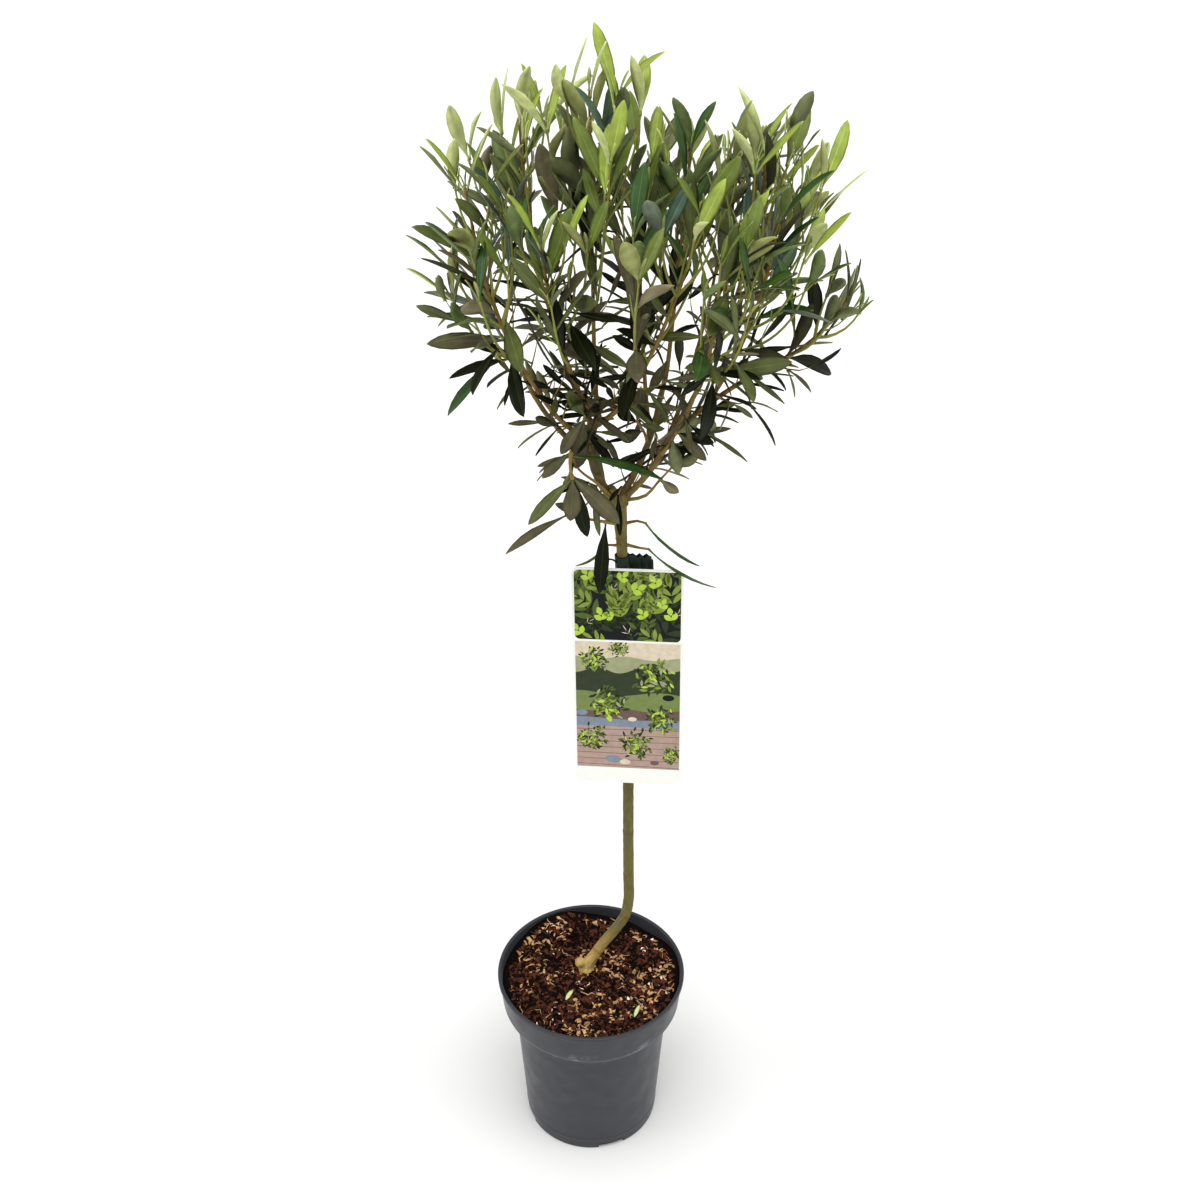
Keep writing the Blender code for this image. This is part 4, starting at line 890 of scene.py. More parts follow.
class Blades:
    """The leaves that a mass has so far, which a new one must not cross."""

    def __init__(self, twigs):
        runs = [(twig.path[k], twig.path[k + 1]) for twig in twigs for k in range(len(twig.path) - 1)]
        self.twigs = np.array(runs)
        self.edges = np.empty((0, 2, 3))
        self.halves = np.empty((0, 3, 3))

    def cross(self, leaf):
        edges, halves = leaf_frame(leaf)
        if pierces(self.twigs, halves):
            return True
        return len(self.edges) > 0 and (pierces(edges, self.halves) or pierces(self.edges, halves))

    def add(self, leaf):
        edges, halves = leaf_frame(leaf)
        self.edges = np.concatenate((self.edges, edges))
        self.halves = np.concatenate((self.halves, halves))


def new_leaf(root, way, out, opening, length, droop, age, rng):
    """A leaf that leaves a twig at an opening angle, upper side to the tip."""
    along = leaning(way, out, opening)
    along = unit(along - UP * droop * rng.uniform(*DROOP_SCATTER))
    face = way - along * np.dot(way, along)
    if np.linalg.norm(face) < 0.15:
        face = UP - along * along[2]
    lit = np.array((root[0] - CROWN_X, root[1] - CROWN_Y, 0.0))
    lit = unit(lit) + UP * LEAF_LIGHT_RISE
    lit = unit(lit - along * np.dot(lit, along))
    if np.dot(lit, face) < 0:
        lit = -lit
    face = unit(unit(face) + lit * LEAF_FACING)
    face = turned(face, along, rng.normal(0.0, LEAF_ROLL))
    width = length * rng.uniform(*LEAF_ASPECTS)
    return Leaf(root, along, face, length, width, rng.uniform(*LEAF_CURLS), age)


def grow_twigs(mass, stem, space, rng):
    """The mass's stem and the side twigs that find room beside it."""
    twigs = [Twig(stem, MAIN_TWIG_RADII)]
    roll = rng.uniform(0.0, 360.0)
    low, high = SIDE_TWIG_SHARES
    for k in range(mass.side_twigs):
        share = low + (high - low) * (k + rng.uniform(0.0, 0.5)) / mass.side_twigs
        point, way = along_path(stem, share)
        goal = unit(way * SIDE_TWIG_GOAL[0] + UP * (1.0 - SIDE_TWIG_GOAL[1] * mass.droop))
        for side in range(1 + (rng.uniform() < SIDE_TWIG_DOUBLES)):
            length = mass.length * (1 - share) * rng.uniform(*SIDE_TWIG_LENGTHS) + SIDE_TWIG_EXTRA
            for aside in TURN_TRIES:
                scatter = rng.uniform(-SIDE_TWIG_SCATTER, SIDE_TWIG_SCATTER)
                turn = roll + 90.0 * k + 180.0 * side + scatter + aside
                setting_off = leaning(way, sideways(way, turn), SIDE_TWIG_OPENING)
                path = bending_path(point, setting_off, goal, SIDE_TWIG_BEND, length, SIDE_TWIG_STEPS)
                if space.holds(path[1:], SIDE_TWIG_CLEARANCE):
                    twigs.append(Twig(path, SIDE_TWIG_RADII))
                    break
    return twigs


def grow_leaves(mass, twigs, space, rng):
    """Leaves in crossed pairs up each twig, left out where there is no room."""
    leaves = []
    blades = Blades(twigs)
    for order, twig in enumerate(twigs):
        first = LEAF_STRETCH[1] if order else LEAF_STRETCH[0]
        pairs = max(1, int(run_lengths(twig.path)[-1] / LEAF_SPACING))
        roll = rng.uniform(0.0, 180.0)
        for k in range(pairs + 1):
            tipness = k / pairs
            point, way = along_path(twig.path, first + (LEAF_STRETCH[2] - first) * tipness)
            light = float(np.interp(point[2], SHADE_HEIGHTS, (0.0, 1.0)))
            droop = mass.droop * (1 - DROOP_TIP_LOSS * tipness) + SHADE_DROOP * (1 - light) * (1 - tipness)
            # Height stands in for light: lower leaves count as older and get darker tints, partly painted
            # shade.
            youth_and_light = AGE_LIGHT * float(np.interp(point[2], AGE_AND_SHADE_HEIGHTS, (0.0, 1.0))) + AGE_TIP * tipness
            age = float(np.clip(AGE_OLDEST - youth_and_light, 0.0, 1.0))
            for flip in (0.0, 180.0):
                if rng.uniform() < LEAF_LOSS[0] + LEAF_LOSS[1] * (1 - tipness):
                    continue
                length = rng.uniform(*LEAF_LENGTHS) * (1 - LEAF_TIP_LOSS * tipness ** 3)
                length *= 1 - LEAF_SHADE_LOSS * (1 - light)
                for aside in LEAF_TRIES:
                    turn = roll + 90.0 * k + flip + rng.uniform(-LEAF_SCATTER, LEAF_SCATTER) + aside
                    out = sideways(way, turn)
                    opening = rng.uniform(*LEAF_OPENINGS) * (1 - LEAF_TIP_CLOSING * tipness)
                    leaf = new_leaf(point + out * LEAF_ROOT, way, out, opening, length, droop, age, rng)
                    if space.holds(leaf_tests(leaf), LEAF_CLEARANCE) and not blades.cross(leaf):
                        leaves.append(leaf._replace(spray=order))
                        blades.add(leaf)
                        break
    return leaves


def grow(name, spines, limbs):
    """The twigs and leaves of one mass, always the same for its seed."""
    mass = MASSES[name]
    rng = np.random.default_rng(mass.seed)
    space = Space(name, spines, limbs)
    twigs = grow_twigs(mass, mass_stem(mass, limbs), space, rng)
    return twigs, grow_leaves(mass, twigs, space, rng)


# --------------------------------------------------------------------- label

def stem_at(height):
    """The stem's axis at a height."""
    path = stem_path()
    return np.array([np.interp(height, path[:, 2], path[:, k]) for k in range(3)])


def strap_radius():
    """The radius of the loop that the middle of the strap makes."""
    return STEM_TOP_DIA / 2 + BAND_CLEARANCE + BAND_THICKNESS / 2


def card_frame():
    """The middle of the card's back at its top, and the ways across, down and out."""
    yaw, lean, roll = radians(CARD_YAW), radians(CARD_LEAN), radians(CARD_ROLL)
    across = np.array((cos(yaw), -sin(yaw), 0.0))
    before = np.array((-sin(yaw), -cos(yaw), 0.0))
    top = stem_at((BAND_TOP + BAND_BOTTOM) / 2)
    top = top + before * (strap_radius() + BAND_THICKNESS / 2 + GAP) + across * CARD_ASIDE
    top[2] = CARD_TOP
    down = before * sin(lean) - UP * cos(lean)
    out = before * cos(lean) + UP * sin(lean)
    return top, across * cos(roll) + down * sin(roll), down * cos(roll) - across * sin(roll), out


# -------------------------------------------------------------- finer growth

def grow_spurs(mass, twigs, leaves, space, rng):
    """Short spurs with small leaves, from the twigs' bare places."""
    blades = Blades(twigs)
    for leaf in leaves:
        blades.add(leaf)
    spurs, small = [], []
    for twig in twigs:
        length = run_lengths(twig.path)[-1]
        count = int(length / SPUR_SPACING)
        for k in range(count):
            share = (k + rng.uniform(*SPUR_PLACES)) / count
            point, way = along_path(twig.path, share)
            setting_off = leaning(way, sideways(way, rng.uniform(0.0, 360.0)), SPUR_OPENING)
            goal = unit(way + UP * (1.0 - mass.droop))
            path = bending_path(point, setting_off, goal, SPUR_BEND, rng.uniform(*SPUR_LENGTHS), SPUR_STEPS)
            if not space.holds(path[1:], SPUR_CLEARANCE):
                continue
            spurs.append(Twig(path, SPUR_RADII))
            small += grow_small_leaves(path, mass.droop, space.holds, blades, rng)
    return spurs, small


def grow_small_leaves(path, droop, holds, blades, rng):
    """Pairs of small leaves along a spur, the last at its tip."""
    leaves = []
    pairs = max(1, int(run_lengths(path)[-1] / SMALL_LEAF_SPACING))
    roll = rng.uniform(0.0, 180.0)
    for k in range(pairs + 1):
        tipness = k / pairs
        point, way = along_path(path, SMALL_LEAF_FIRST + (LEAF_STRETCH[2] - SMALL_LEAF_FIRST) * tipness)
        light = float(np.interp(point[2], SHADE_HEIGHTS, (0.0, 1.0)))
        for flip in (0.0, 180.0):
            if rng.uniform() < LEAF_LOSS[0]:
                continue
            turn = roll + 90.0 * k + flip + rng.uniform(-LEAF_SCATTER, LEAF_SCATTER)
            out = sideways(way, turn)
            opening = rng.uniform(*LEAF_OPENINGS) * (1 - LEAF_TIP_CLOSING * tipness)
            length = rng.uniform(*SMALL_LEAF_LENGTHS) * (1 - LEAF_SHADE_LOSS * (1 - light))
            fall = droop + SHADE_DROOP * (1 - light)
            # Small leaves are tinted by height alone, darker lower down: painted shade.
            age = 1.0 - AGE_LIGHT * light
            leaf = new_leaf(point + out * LEAF_ROOT, way, out, opening, length, fall, age, rng)
            if holds(leaf_tests(leaf), LEAF_CLEARANCE) and not blades.cross(leaf):
                leaves.append(leaf)
                blades.add(leaf)
    return leaves


def grow_buds(twigs, rng):
    """A pair of narrow unopened leaves at the tip of every twig."""
    buds = []
    for twig in twigs:
        way = unit(twig.path[-1] - twig.path[-2])
        roll = rng.uniform(0.0, 180.0)
        for flip in (0.0, 180.0):
            out = sideways(way, roll + flip)
            length = rng.uniform(*BUD_LENGTHS)
            root = twig.path[-1] - way * BUD_SUNK
            bud = new_leaf(root, way, out, rng.uniform(*BUD_OPENINGS), length, 0.0, 0.0, rng)
            buds.append(bud._replace(width=length * BUD_ASPECT, curl=BUD_CURL))
    return buds


def grow_inner(spines, limbs, rng):
    """Thin dark leaves on short shoots straight out of the wood inside the crown."""
    space = Space("foliage_top", spines, limbs)
    bearers = [(*limbs[name], INNER_SPACING, False) for name in LIMBS]
    for mass in MASSES.values():
        stem = mass_stem(mass, limbs)[:INNER_STEM_PIECES + 1]
        bearers.append((stem, MAIN_TWIG_RADII, INNER_STEM_SPACING, True))
    shoots, leaves = [], []
    for path, radii, spacing, inward in bearers:
        count = int(run_lengths(path)[-1] / spacing)
        for k in range(count):
            share = (k + rng.uniform(*INNER_PLACES)) / count
            point, way = along_path(path, share)
            out = sideways(way, rng.uniform(0.0, 360.0))
            if inward and np.dot(out[:2], point[:2] - (CROWN_X, CROWN_Y)) > 0:
                out = -out
            setting_off = leaning(way, out, rng.uniform(*INNER_OPENINGS))
            radius = float(np.interp(share, (0.0, 1.0), (radii[0], radii[-1])))
            start = point + out * radius * INNER_START
            shoot = bending_path(start, setting_off, UP, INNER_BEND, rng.uniform(*INNER_LENGTHS), SPUR_STEPS)
            if not space.open(shoot[1:]):
                continue
            shoots.append(Twig(shoot, SPUR_RADII))
            blades = Blades([shoots[-1]])
            leaves += grow_small_leaves(
                shoot, INNER_DROOP, lambda points, clear: space.open(points), blades, rng)
    narrow = [leaf._replace(width=leaf.width * INNER_NARROWING, age=1.0) for leaf in leaves]
    return shoots, narrow


class Crown:
    """Everything that grows: limbs, sprays of twigs and leaves, inner shoots."""

    def __init__(self):
        self.limbs = limb_paths()
        spines = crown_spines(self.limbs)
        self.sprays = []
        for name, mass in MASSES.items():
            twigs, leaves = grow(name, spines, self.limbs)
            rng = np.random.default_rng(mass.seed + FINER_SEED)
            space = Space(name, spines, self.limbs)
            spurs, small = grow_spurs(mass, twigs, leaves, space, rng)
            buds = grow_buds(twigs + spurs, rng)
            self.sprays.append((name, twigs, spurs, leaves, small, buds))
        self.placed = []
        for name, spray in SPRAYS.items():
            paths = placed_twigs(spray, self.limbs)
            twigs = [Twig(path, MAIN_TWIG_RADII) for path in paths]
            self.placed.append((name, twigs, placed_leaves(spray, paths)))
        rng = np.random.default_rng(FINER_SEED)
        self.inner = grow_inner(spines, self.limbs, rng)


@lru_cache(maxsize=1)
def grown_crown():
    """The crown, worked out once for every piece that shows some of it."""
    return Crown()


# -------------------------------------------------------------------- meshes

def linear(code):
    """The linear colour of an sRGB hex code."""
    channels = [int(code[k:k + 2], 16) / 255 for k in (1, 3, 5)]
    return [c / 12.92 if c <= 0.04045 else ((c + 0.055) / 1.055) ** 2.4 for c in channels]


def new_piece(name, points, faces, materials, choices=None, smooth=True):
    """A linked mesh object at the origin, from points and outward faces."""
    mesh = bpy.data.meshes.new(name)
    mesh.from_pydata(np.asarray(points, float).tolist(), [], faces)
    for material in materials:
        mesh.materials.append(material)
    if choices is not None:
        mesh.polygons.foreach_set("material_index", np.asarray(choices, np.int32))
    if smooth:
        mesh.shade_smooth()
    mesh.update()
    made = bpy.data.objects.new(name, mesh)
    bpy.context.scene.collection.objects.link(made)
    return made


def settle(made):
    """Replace an object's mesh by what its modifiers make of it."""
    graph = bpy.context.evaluated_depsgraph_get()
    mesh = bpy.data.meshes.new_from_object(made.evaluated_get(graph))
    made.modifiers.clear()
    old = made.data
    made.data = mesh
    bpy.data.meshes.remove(old)


def dress(made, slot, *nodes):
    """Hand a finished piece to the frame, in place of the nodes it stands for."""
    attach(made, "root")
    if nodes:
        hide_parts(*nodes)


def flowing_path(path, wanted):
    """Points of a smooth curve through a path, at lengths along it."""
    runs = run_lengths(path)
    slopes = np.gradient(path, runs, axis=0)
    k = np.clip(np.searchsorted(runs, wanted) - 1, 0, len(path) - 2)
    span = (runs[k + 1] - runs[k])[:, None]
    t = (wanted - runs[k])[:, None] / span
    return (
        (2 * t ** 3 - 3 * t ** 2 + 1) * path[k] + (t ** 3 - 2 * t ** 2 + t) * span * slopes[k]
        + (3 * t ** 2 - 2 * t ** 3) * path[k + 1] + (t ** 3 - t ** 2) * span * slopes[k + 1]
    )


def tube(path, radii, sides):
    """Points and faces of a closed, tapering tube along a path."""
    ways = np.gradient(path, axis=0)
    ways /= np.linalg.norm(ways, axis=1)[:, None]
    side = square_to(ways[0])
    angles = 2 * pi * np.arange(sides) / sides
    rings = []
    for centre, way, radius in zip(path, ways, radii):
        side = unit(side - way * np.dot(side, way))
        other = np.cross(way, side)
        rings.append(centre + radius * (np.outer(np.cos(angles), side) + np.outer(np.sin(angles), other)))
    last = (len(path) - 1) * sides
    faces = [tuple(range(sides))[::-1], tuple(range(last, last + sides))]
    for ring in range(len(path) - 1):
        low = ring * sides
        for k in range(sides):
            after = (k + 1) % sides
            faces.append((low + k, low + after, low + sides + after, low + sides + k))
    return np.vstack(rings), faces


def joined(parts):
    """One list of points and one of faces, from several pairs of them."""
    points, faces, count = [], [], 0
    for part_points, part_faces in parts:
        points.append(part_points)
        faces += [tuple(corner + count for corner in face) for face in part_faces]
        count += len(part_points)
    return np.vstack(points), faces


def turned_shape(profile, sides):
    """Points and faces turned about Z from (radius, height) points.

    The outline runs up its outer side, and both its ends are on the axis.
    """
    angles = 2 * pi * np.arange(sides) / sides
    ring = np.stack((np.cos(angles), np.sin(angles)), axis=1)
    points, faces = [(0.0, 0.0, profile[0][1])], []
    for radius, height in profile[1:-1]:
        points += [(radius * x, radius * y, height) for x, y in ring]
    points.append((0.0, 0.0, profile[-1][1]))
    top = len(points) - 1
    for k in range(sides):
        after = (k + 1) % sides
        faces.append((0, 1 + after, 1 + k))
        faces.append((top, top - sides + k, top - sides + after))
        for level in range(len(profile) - 3):
            low = 1 + level * sides
            faces.append((low + k, low + after, low + sides + after, low + sides + k))
    return points, faces


def rounded(corners, steps=4):
    """An outline whose corners, given as (x, y, radius), are rounded off."""
    outline = []
    for k, (x, y, radius) in enumerate(corners):
        here = np.array((x, y))
        if radius == 0:
            outline.append((x, y))
            continue
        before = unit(np.array(corners[k - 1][:2]) - here)
        after = unit(np.array(corners[(k + 1) % len(corners)][:2]) - here)
        for step in range(steps + 1):
            t = step / steps
            a, b = here + before * radius, here + after * radius
            outline.append(tuple((1 - t) ** 2 * a + 2 * t * (1 - t) * here + t ** 2 * b))
    return outline


# -------------------------------------------------------------------- leaves

def leaf_rings(leaf, rng):
    """The points of one blade: each station's upper row, then its lower one."""
    side = np.cross(leaf.face, leaf.along)
    fold, wave, phase, twist, bend, extra_curl = rng.uniform(*np.transpose(LEAF_WARPS))
    rows = []
    for t in LEAF_STATIONS:
        share = max(0.0, (t - LEAF_PETIOLE) / (1 - LEAF_PETIOLE))
        blade = (share / LEAF_BROADEST) ** (LEAF_POINT * LEAF_BROADEST / (1 - LEAF_BROADEST))
        blade *= ((1 - share) / (1 - LEAF_BROADEST)) ** LEAF_POINT
        half = max(leaf.width / 2 * blade, PETIOLE_HALF * (1 - PETIOLE_TAPER * t))
        centre = leaf.root + leaf.along * leaf.length * t + side * bend * leaf.length * t * t
        centre = centre - leaf.face * leaf.length * (leaf.curl * t ** 2 + extra_curl * t ** 3)
        across = side * cos(twist * t) + leaf.face * sin(twist * t)
        lift = np.cross(leaf.along, across)
        rib = min(RIB_HALF * (RIB_REACH - t), RIB_SHARE * half)
        ripple = wave * sin(2 * pi * (LEAF_RIPPLES * t + phase))
        thick = LEAF_THICK + max(0.0, PETIOLE_THICK - LEAF_THICK) * max(0.0, 1 - t / (2 * LEAF_PETIOLE))
        for place in (-half, -LEAF_ROW * half, -rib, rib, LEAF_ROW * half, half):
            c = place / half
            rise = half * (fold * abs(c) - FOLD_EASE * fold * c ** 4 + ripple * c * abs(c))
            rows.append(centre + across * place + lift * rise)
        rows.append(centre - lift * thick * LEAF_KEEL)
    return rows


def leaf_template():
    """The faces of one blade and the side that each one shows."""
    upper, lower, ring = 6, (0, 6, 5), 7
    faces, sides = [tuple(range(ring))], [1]
    for k in range(len(LEAF_STATIONS) - 1):
        low, high = k * ring, (k + 1) * ring
        for j in range(upper - 1):
            faces.append((low + j, high + j, high + j + 1, low + j + 1))
            sides.append(2 if j == 2 else 0)
        for a, b in zip(lower, lower[1:]):
            faces.append((low + a, low + b, high + b, high + a))
            sides.append(1)
    last = (len(LEAF_STATIONS) - 1) * ring
    faces.append(tuple(last + corner for corner in faces[0][::-1]))
    sides.append(1)
    return faces, sides


def cast_of(luck):
    """The cast of a spray's leaves, drawn by a number from 0 to 1; None is plain."""
    for cast, share in CASTS:
        if luck < share:
            return cast
        luck -= share
    return None


def tint_of(leaf, tone, cast):
    """The tint of a leaf, by how old and how shaded it is, in a spray of that tone and cast; darker low in
    the crown, partly painted shade.
    """
    age = leaf.age + tone
    for tint, oldest in TINT_AGE_AND_SHADE_LEVELS:
        if age < oldest:
            return cast if cast in CASTS_OF.get(tint, ()) else tint
    return TINT_AGE_AND_SHADE_LEVELS[-1][0]


def dealt_leaves(crown):
    """Every leaf of the crown under its tint, dealt out spray by spray."""
    dealt = {tint: [] for tint in TINTS}
    for name, twigs, _, leaves, small, buds in crown.sprays:
        rng = np.random.default_rng(MASSES[name].seed + TINT_SEED)
        tones = rng.normal(0.0, SPRAY_TONE, len(twigs))
        casts = [cast_of(luck) for luck in rng.uniform(size=len(twigs))]
        for leaf in leaves:
            if leaf.root[2] < THIN_HEIGHT or rng.uniform() > THIN_SHARES[0]:
                dealt[tint_of(leaf, tones[leaf.spray], casts[leaf.spray])].append(leaf)
        for leaf in small:
            if leaf.root[2] < THIN_HEIGHT or rng.uniform() > THIN_SHARES[1]:
                dealt[tint_of(leaf, SMALL_LEAF_TONE, None)].append(leaf)
        for bud in buds:
            dealt["young" if bud.root[2] > YOUNG_BUD_HEIGHT else "fresh"].append(bud)
    for name, _, leaves in crown.placed:
        tints = PLACED_TINTS[name]
        for order, leaf in enumerate(leaves):
            dealt[tints[order % len(tints)]].append(leaf)
    _, inner = crown.inner
    drawn = np.random.default_rng(TINT_SEED).uniform(size=len(inner))
    for leaf, luck in zip(inner, drawn):
        dealt[next(tint for tint, highest in INNER_TINTS if luck < highest)].append(leaf)
    return dealt


def make_leaves(settings, crown):
    """One joined piece of leaves for each tint."""
    faces, sides = leaf_template()
    rng = np.random.default_rng(LEAF_SEED)
    for tint, leaves in dealt_leaves(crown).items():
        points, every_face = joined([(np.vstack(leaf_rings(leaf, rng)), faces) for leaf in leaves])
        materials = [leaf_material(settings, tint, side) for side in TINT_SIDES]
        made = new_piece("leaves_" + tint, points, every_face, materials, sides * len(leaves))
        dress(made, "leaf", *((*MASSES, *SPRAYS) if tint == "mature" else ()))


# --------------------------------------------------------------------- twigs

def twig_tube(twig, leaves=(), thinning=TWIG_THINNING):
    """A round twig, a little swollen where its leaves leave it."""
    total = run_lengths(twig.path)[-1]
    roots = [leaf.root for leaf in leaves]
    steps = list(np.linspace(0.0, total, max(4, ceil(total / TWIG_STEP))))
    nodes = []
    if roots:
        fine = flowing_path(twig.path, np.linspace(0.0, total, TWIG_SAMPLES))
        gaps = np.linalg.norm(np.array(roots)[:, None] - fine[None], axis=2)
        for nearest, gap in zip(gaps.argmin(axis=1), gaps.min(axis=1)):
            if gap < NODE_REACH:
                nodes.append(total * nearest / (TWIG_SAMPLES - 1))
    for node in nodes:
        steps += [node - NODE_LENGTH, node, node + NODE_LENGTH]
    wanted = np.unique(np.round(np.clip(steps, 0.0, total), 4))
    path = flowing_path(twig.path, wanted)
    radii = np.interp(wanted, (0.0, total), (twig.radii[0], twig.radii[1] * thinning))
    for node in nodes:
        radii = radii + NODE_SWELL * np.exp(-((wanted - node) / NODE_LENGTH) ** 2)
    radii[-1] *= 0.5
    return tube(path, radii, TWIG_SIDES)


def make_twigs(settings, crown):
    """The masses' own stems, and the greener twigs that leave them."""
    brown, green = [], []
    for _, (main, *others), spurs, leaves, _, _ in crown.sprays:
        way = unit(main.path[1] - main.path[0])
        main = main._replace(path=np.vstack((main.path[0] - way * TWIG_SUNK, main.path[1:])))
        brown.append(twig_tube(main, [leaf for leaf in leaves if leaf.spray == 0], STEM_THINNING))
        for order, twig in enumerate(others, 1):
            green.append(twig_tube(twig, [leaf for leaf in leaves if leaf.spray == order]))
        green += [twig_tube(spur) for spur in spurs]
    for _, twigs, leaves in crown.placed:
        brown += [twig_tube(twig, leaves) for twig in twigs]
    brown += [twig_tube(shoot) for shoot in crown.inner[0]]
    for name, parts, colour in (("twigs_barked", brown, "twig"), ("twigs_green", green, "green_twig")):
        points, faces = joined(parts)
        made = new_piece(name, points, faces, [twig_material(settings, name, colour)])
        dress(made, "leaf")


# ---------------------------------------------------------------------- bark

def bark_tubes(crown):
    """The stem and limbs as overlapping tubes, with collars at their feet."""
    parts = []
    for name, (path, radii) in crown.limbs.items():
        total = run_lengths(path)[-1]
        wanted = np.linspace(0.0, total, ceil(total / BARK_STEP))
        centres = flowing_path(path, wanted)
        sizes = np.interp(wanted, run_lengths(path), radii)
        if name == "stem":
            centres = np.vstack((centres[0] - UP * STEM_SUNK, centres))
            sizes = np.concatenate(([sizes[0] * FOOT_WIDENING], sizes))
        else:
            parent = crown.limbs[LIMBS[name].parent][1].mean()
            sizes = sizes * (1 + COLLAR * np.exp(-(np.maximum(0.0, wanted - parent) / COLLAR_LENGTH) ** 2))
        parts.append(tube(centres, sizes, BARK_SIDES))
    for parent, share, azimuth, rise, length, dia in STUBS:
        path, radii = crown.limbs[parent]
        point, _ = along_path(path, share)
        stub = np.array([point + heading(azimuth, rise) * length * k / 3 for k in range(4)])
        parts.append(tube(stub, np.full(4, dia / 2), BARK_SIDES))
    return parts


def burls(crown):
    """Each round swelling's centre, radius and flattening: knob, head, root flares."""
    foot = STEM_FOOT + UP * KNOB_HEIGHT + heading(KNOB_AZIMUTH, 0.0) * KNOB_OUT
    head = crown.limbs["stem"][0][-1] - UP * HEAD_SUNK
    places = [(foot, KNOB_SIZE, 1.0), (head, STEM_HEAD_DIA / 2, HEAD_FLATTENING)]
    places += [
        (STEM_FOOT + heading(azimuth, 0.0) * out, size, FLARE_FLATTENING)
        for azimuth, out, size in ROOT_FLARES
    ]
    return places


def make_bark(settings, crown):
    """Stem, boughs and limbs in one skin, with the bark's relief."""
    points, faces = joined(bark_tubes(crown))
    bark = new_piece("bark_stem_and_boughs", points, faces, [bark_material(settings)])
    work = bmesh.new()
    work.from_mesh(bark.data)
    for centre, size, height in burls(crown):
        made = bmesh.ops.create_icosphere(work, subdivisions=3, radius=size)
        for vert in made["verts"]:
            vert.co.z *= height
            vert.co += Vector(centre)
    work.to_mesh(bark.data)
    work.free()
    remesh = bark.modifiers.new("skin", "REMESH")
    remesh.mode = "VOXEL"
    remesh.voxel_size = settings.voxel
    smooth = bark.modifiers.new("ease", "SMOOTH")
    smooth.factor, smooth.iterations = SKIN_EASE
    settle(bark)
    add_relief(bark.data, crown, settings.relief)
    bark.data.shade_smooth()
    dress(bark, "bark", "stem", *LIMBS)


def add_relief(mesh, crown, height):
    """Push the skin out in streaks, lenticels and rings along each limb.

    It also leaves two attributes: grain, where each point lies round and
    along its limb, and rings, how close it is to where leaves once grew.
    """
    count = len(mesh.vertices)
    points = np.empty(count * 3)
    normals = np.empty(count * 3)
    mesh.vertices.foreach_get("co", points)
    mesh.vertices.foreach_get("normal", normals)
    points, normals = points.reshape(-1, 3), normals.reshape(-1, 3)
    grain = np.zeros((count, 3))
    rings = np.zeros(count)
    best = np.full(count, 1.0)
    for order, (name, (path, radii)) in enumerate(crown.limbs.items()):
        gaps = distances(points, path[:-1], path[1:]) - radii[:-1]
        near = gaps.argmin(axis=1)
        nearest = gaps[np.arange(count), near]
        closer = nearest < best
        best = np.where(closer, nearest, best)
        start, run = path[near], path[near + 1] - path[near]
        share = np.clip(np.einsum("ij,ij->i", points - start, run) / np.einsum("ij,ij->i", run, run), 0, 1)
        along = run_lengths(path)[near] + share * np.linalg.norm(run, axis=1)
        offset = points - (start + run * share[:, None])
        apart = np.array((LIMBS_APART * order, 0.0, 0.0))
        grain[closer] = (offset + apart + along[:, None] * UP * STREAK_STRETCH)[closer]
        spacing = RING_SPACING * (2.0 if name == "stem" else 1.0)
        phase = (along / spacing + RING_SHIFT * order) % 1.0
        ring = np.exp(-((phase - 0.5) * spacing / RING_WIDTH) ** 2)
        rings[closer] = ring[closer]
    streaks = np.array([noise.noise(Vector(g) / STREAK_SIZE) for g in grain])
    pores = np.array([noise.noise(Vector(p) / PORE_SIZE) for p in points])
    lift = height * (streaks + RING_LIFT * rings + PORE_LIFT * np.clip(pores - PORE_LEVEL, 0.0, 1.0))
    mesh.vertices.foreach_set("co", (points + normals * lift[:, None]).ravel())
    attribute = mesh.attributes.new("grain", "FLOAT_VECTOR", "POINT")
    attribute.data.foreach_set("vector", grain.ravel())
    attribute = mesh.attributes.new("rings", "FLOAT", "POINT")
    attribute.data.foreach_set("value", rings)
    mesh.update()


# ----------------------------------------------------------------- materials

def add_node(tree, kind, inputs=(), **settings):
    """Add a node with its settings; an input takes a value or a link."""
    made = tree.nodes.new(kind)
    for name, value in settings.items():
        setattr(made, name, value)
    for socket, value in dict(inputs).items():
        if isinstance(value, bpy.types.NodeSocket):
            tree.links.new(value, made.inputs[socket])
        else:
            made.inputs[socket].default_value = value
    return made


def rgba(colour, gain=1.0):
    return (*[min(1.0, channel * gain) for channel in colour], 1.0)


def new_material(name, **constants):
    """A Principled material with constant values on its own sockets."""
    material = bpy.data.materials.new(name)
    material.use_nodes = True
    tree = material.node_tree
    shader = tree.nodes["Principled BSDF"]
    for socket, value in constants.items():
        shader.inputs[socket.replace("_", " ")].default_value = value
    return material, tree, shader


def mottle(tree, where, size, levels, first, second):
    """Two colours mixed by noise of a real size, between two noise levels."""
    pattern = add_node(tree, "ShaderNodeTexNoise", {"Vector": where, "Scale": 1 / size, "Detail": 3.0})
    share = add_node(tree, "ShaderNodeMapRange", {
        "Value": pattern.outputs["Fac"], "From Min": levels[0], "From Max": levels[1],
    })
    mixed = add_node(tree, "ShaderNodeMix", {
        "Factor": share.outputs["Result"], 6: first, 7: second,
    }, data_type="RGBA")
    return mixed.outputs[2]


def roughen(tree, shader, where, size, height, strength=1.0):
    """Bump of a real size and height on a material's surface."""
    pattern = add_node(tree, "ShaderNodeTexNoise", {"Vector": where, "Scale": 1 / size, "Detail": 2.0})
    bump = add_node(tree, "ShaderNodeBump", {
        "Height": pattern.outputs["Fac"], "Distance": height, "Strength": strength,
    })
    tree.links.new(bump.outputs["Normal"], shader.inputs["Normal"])


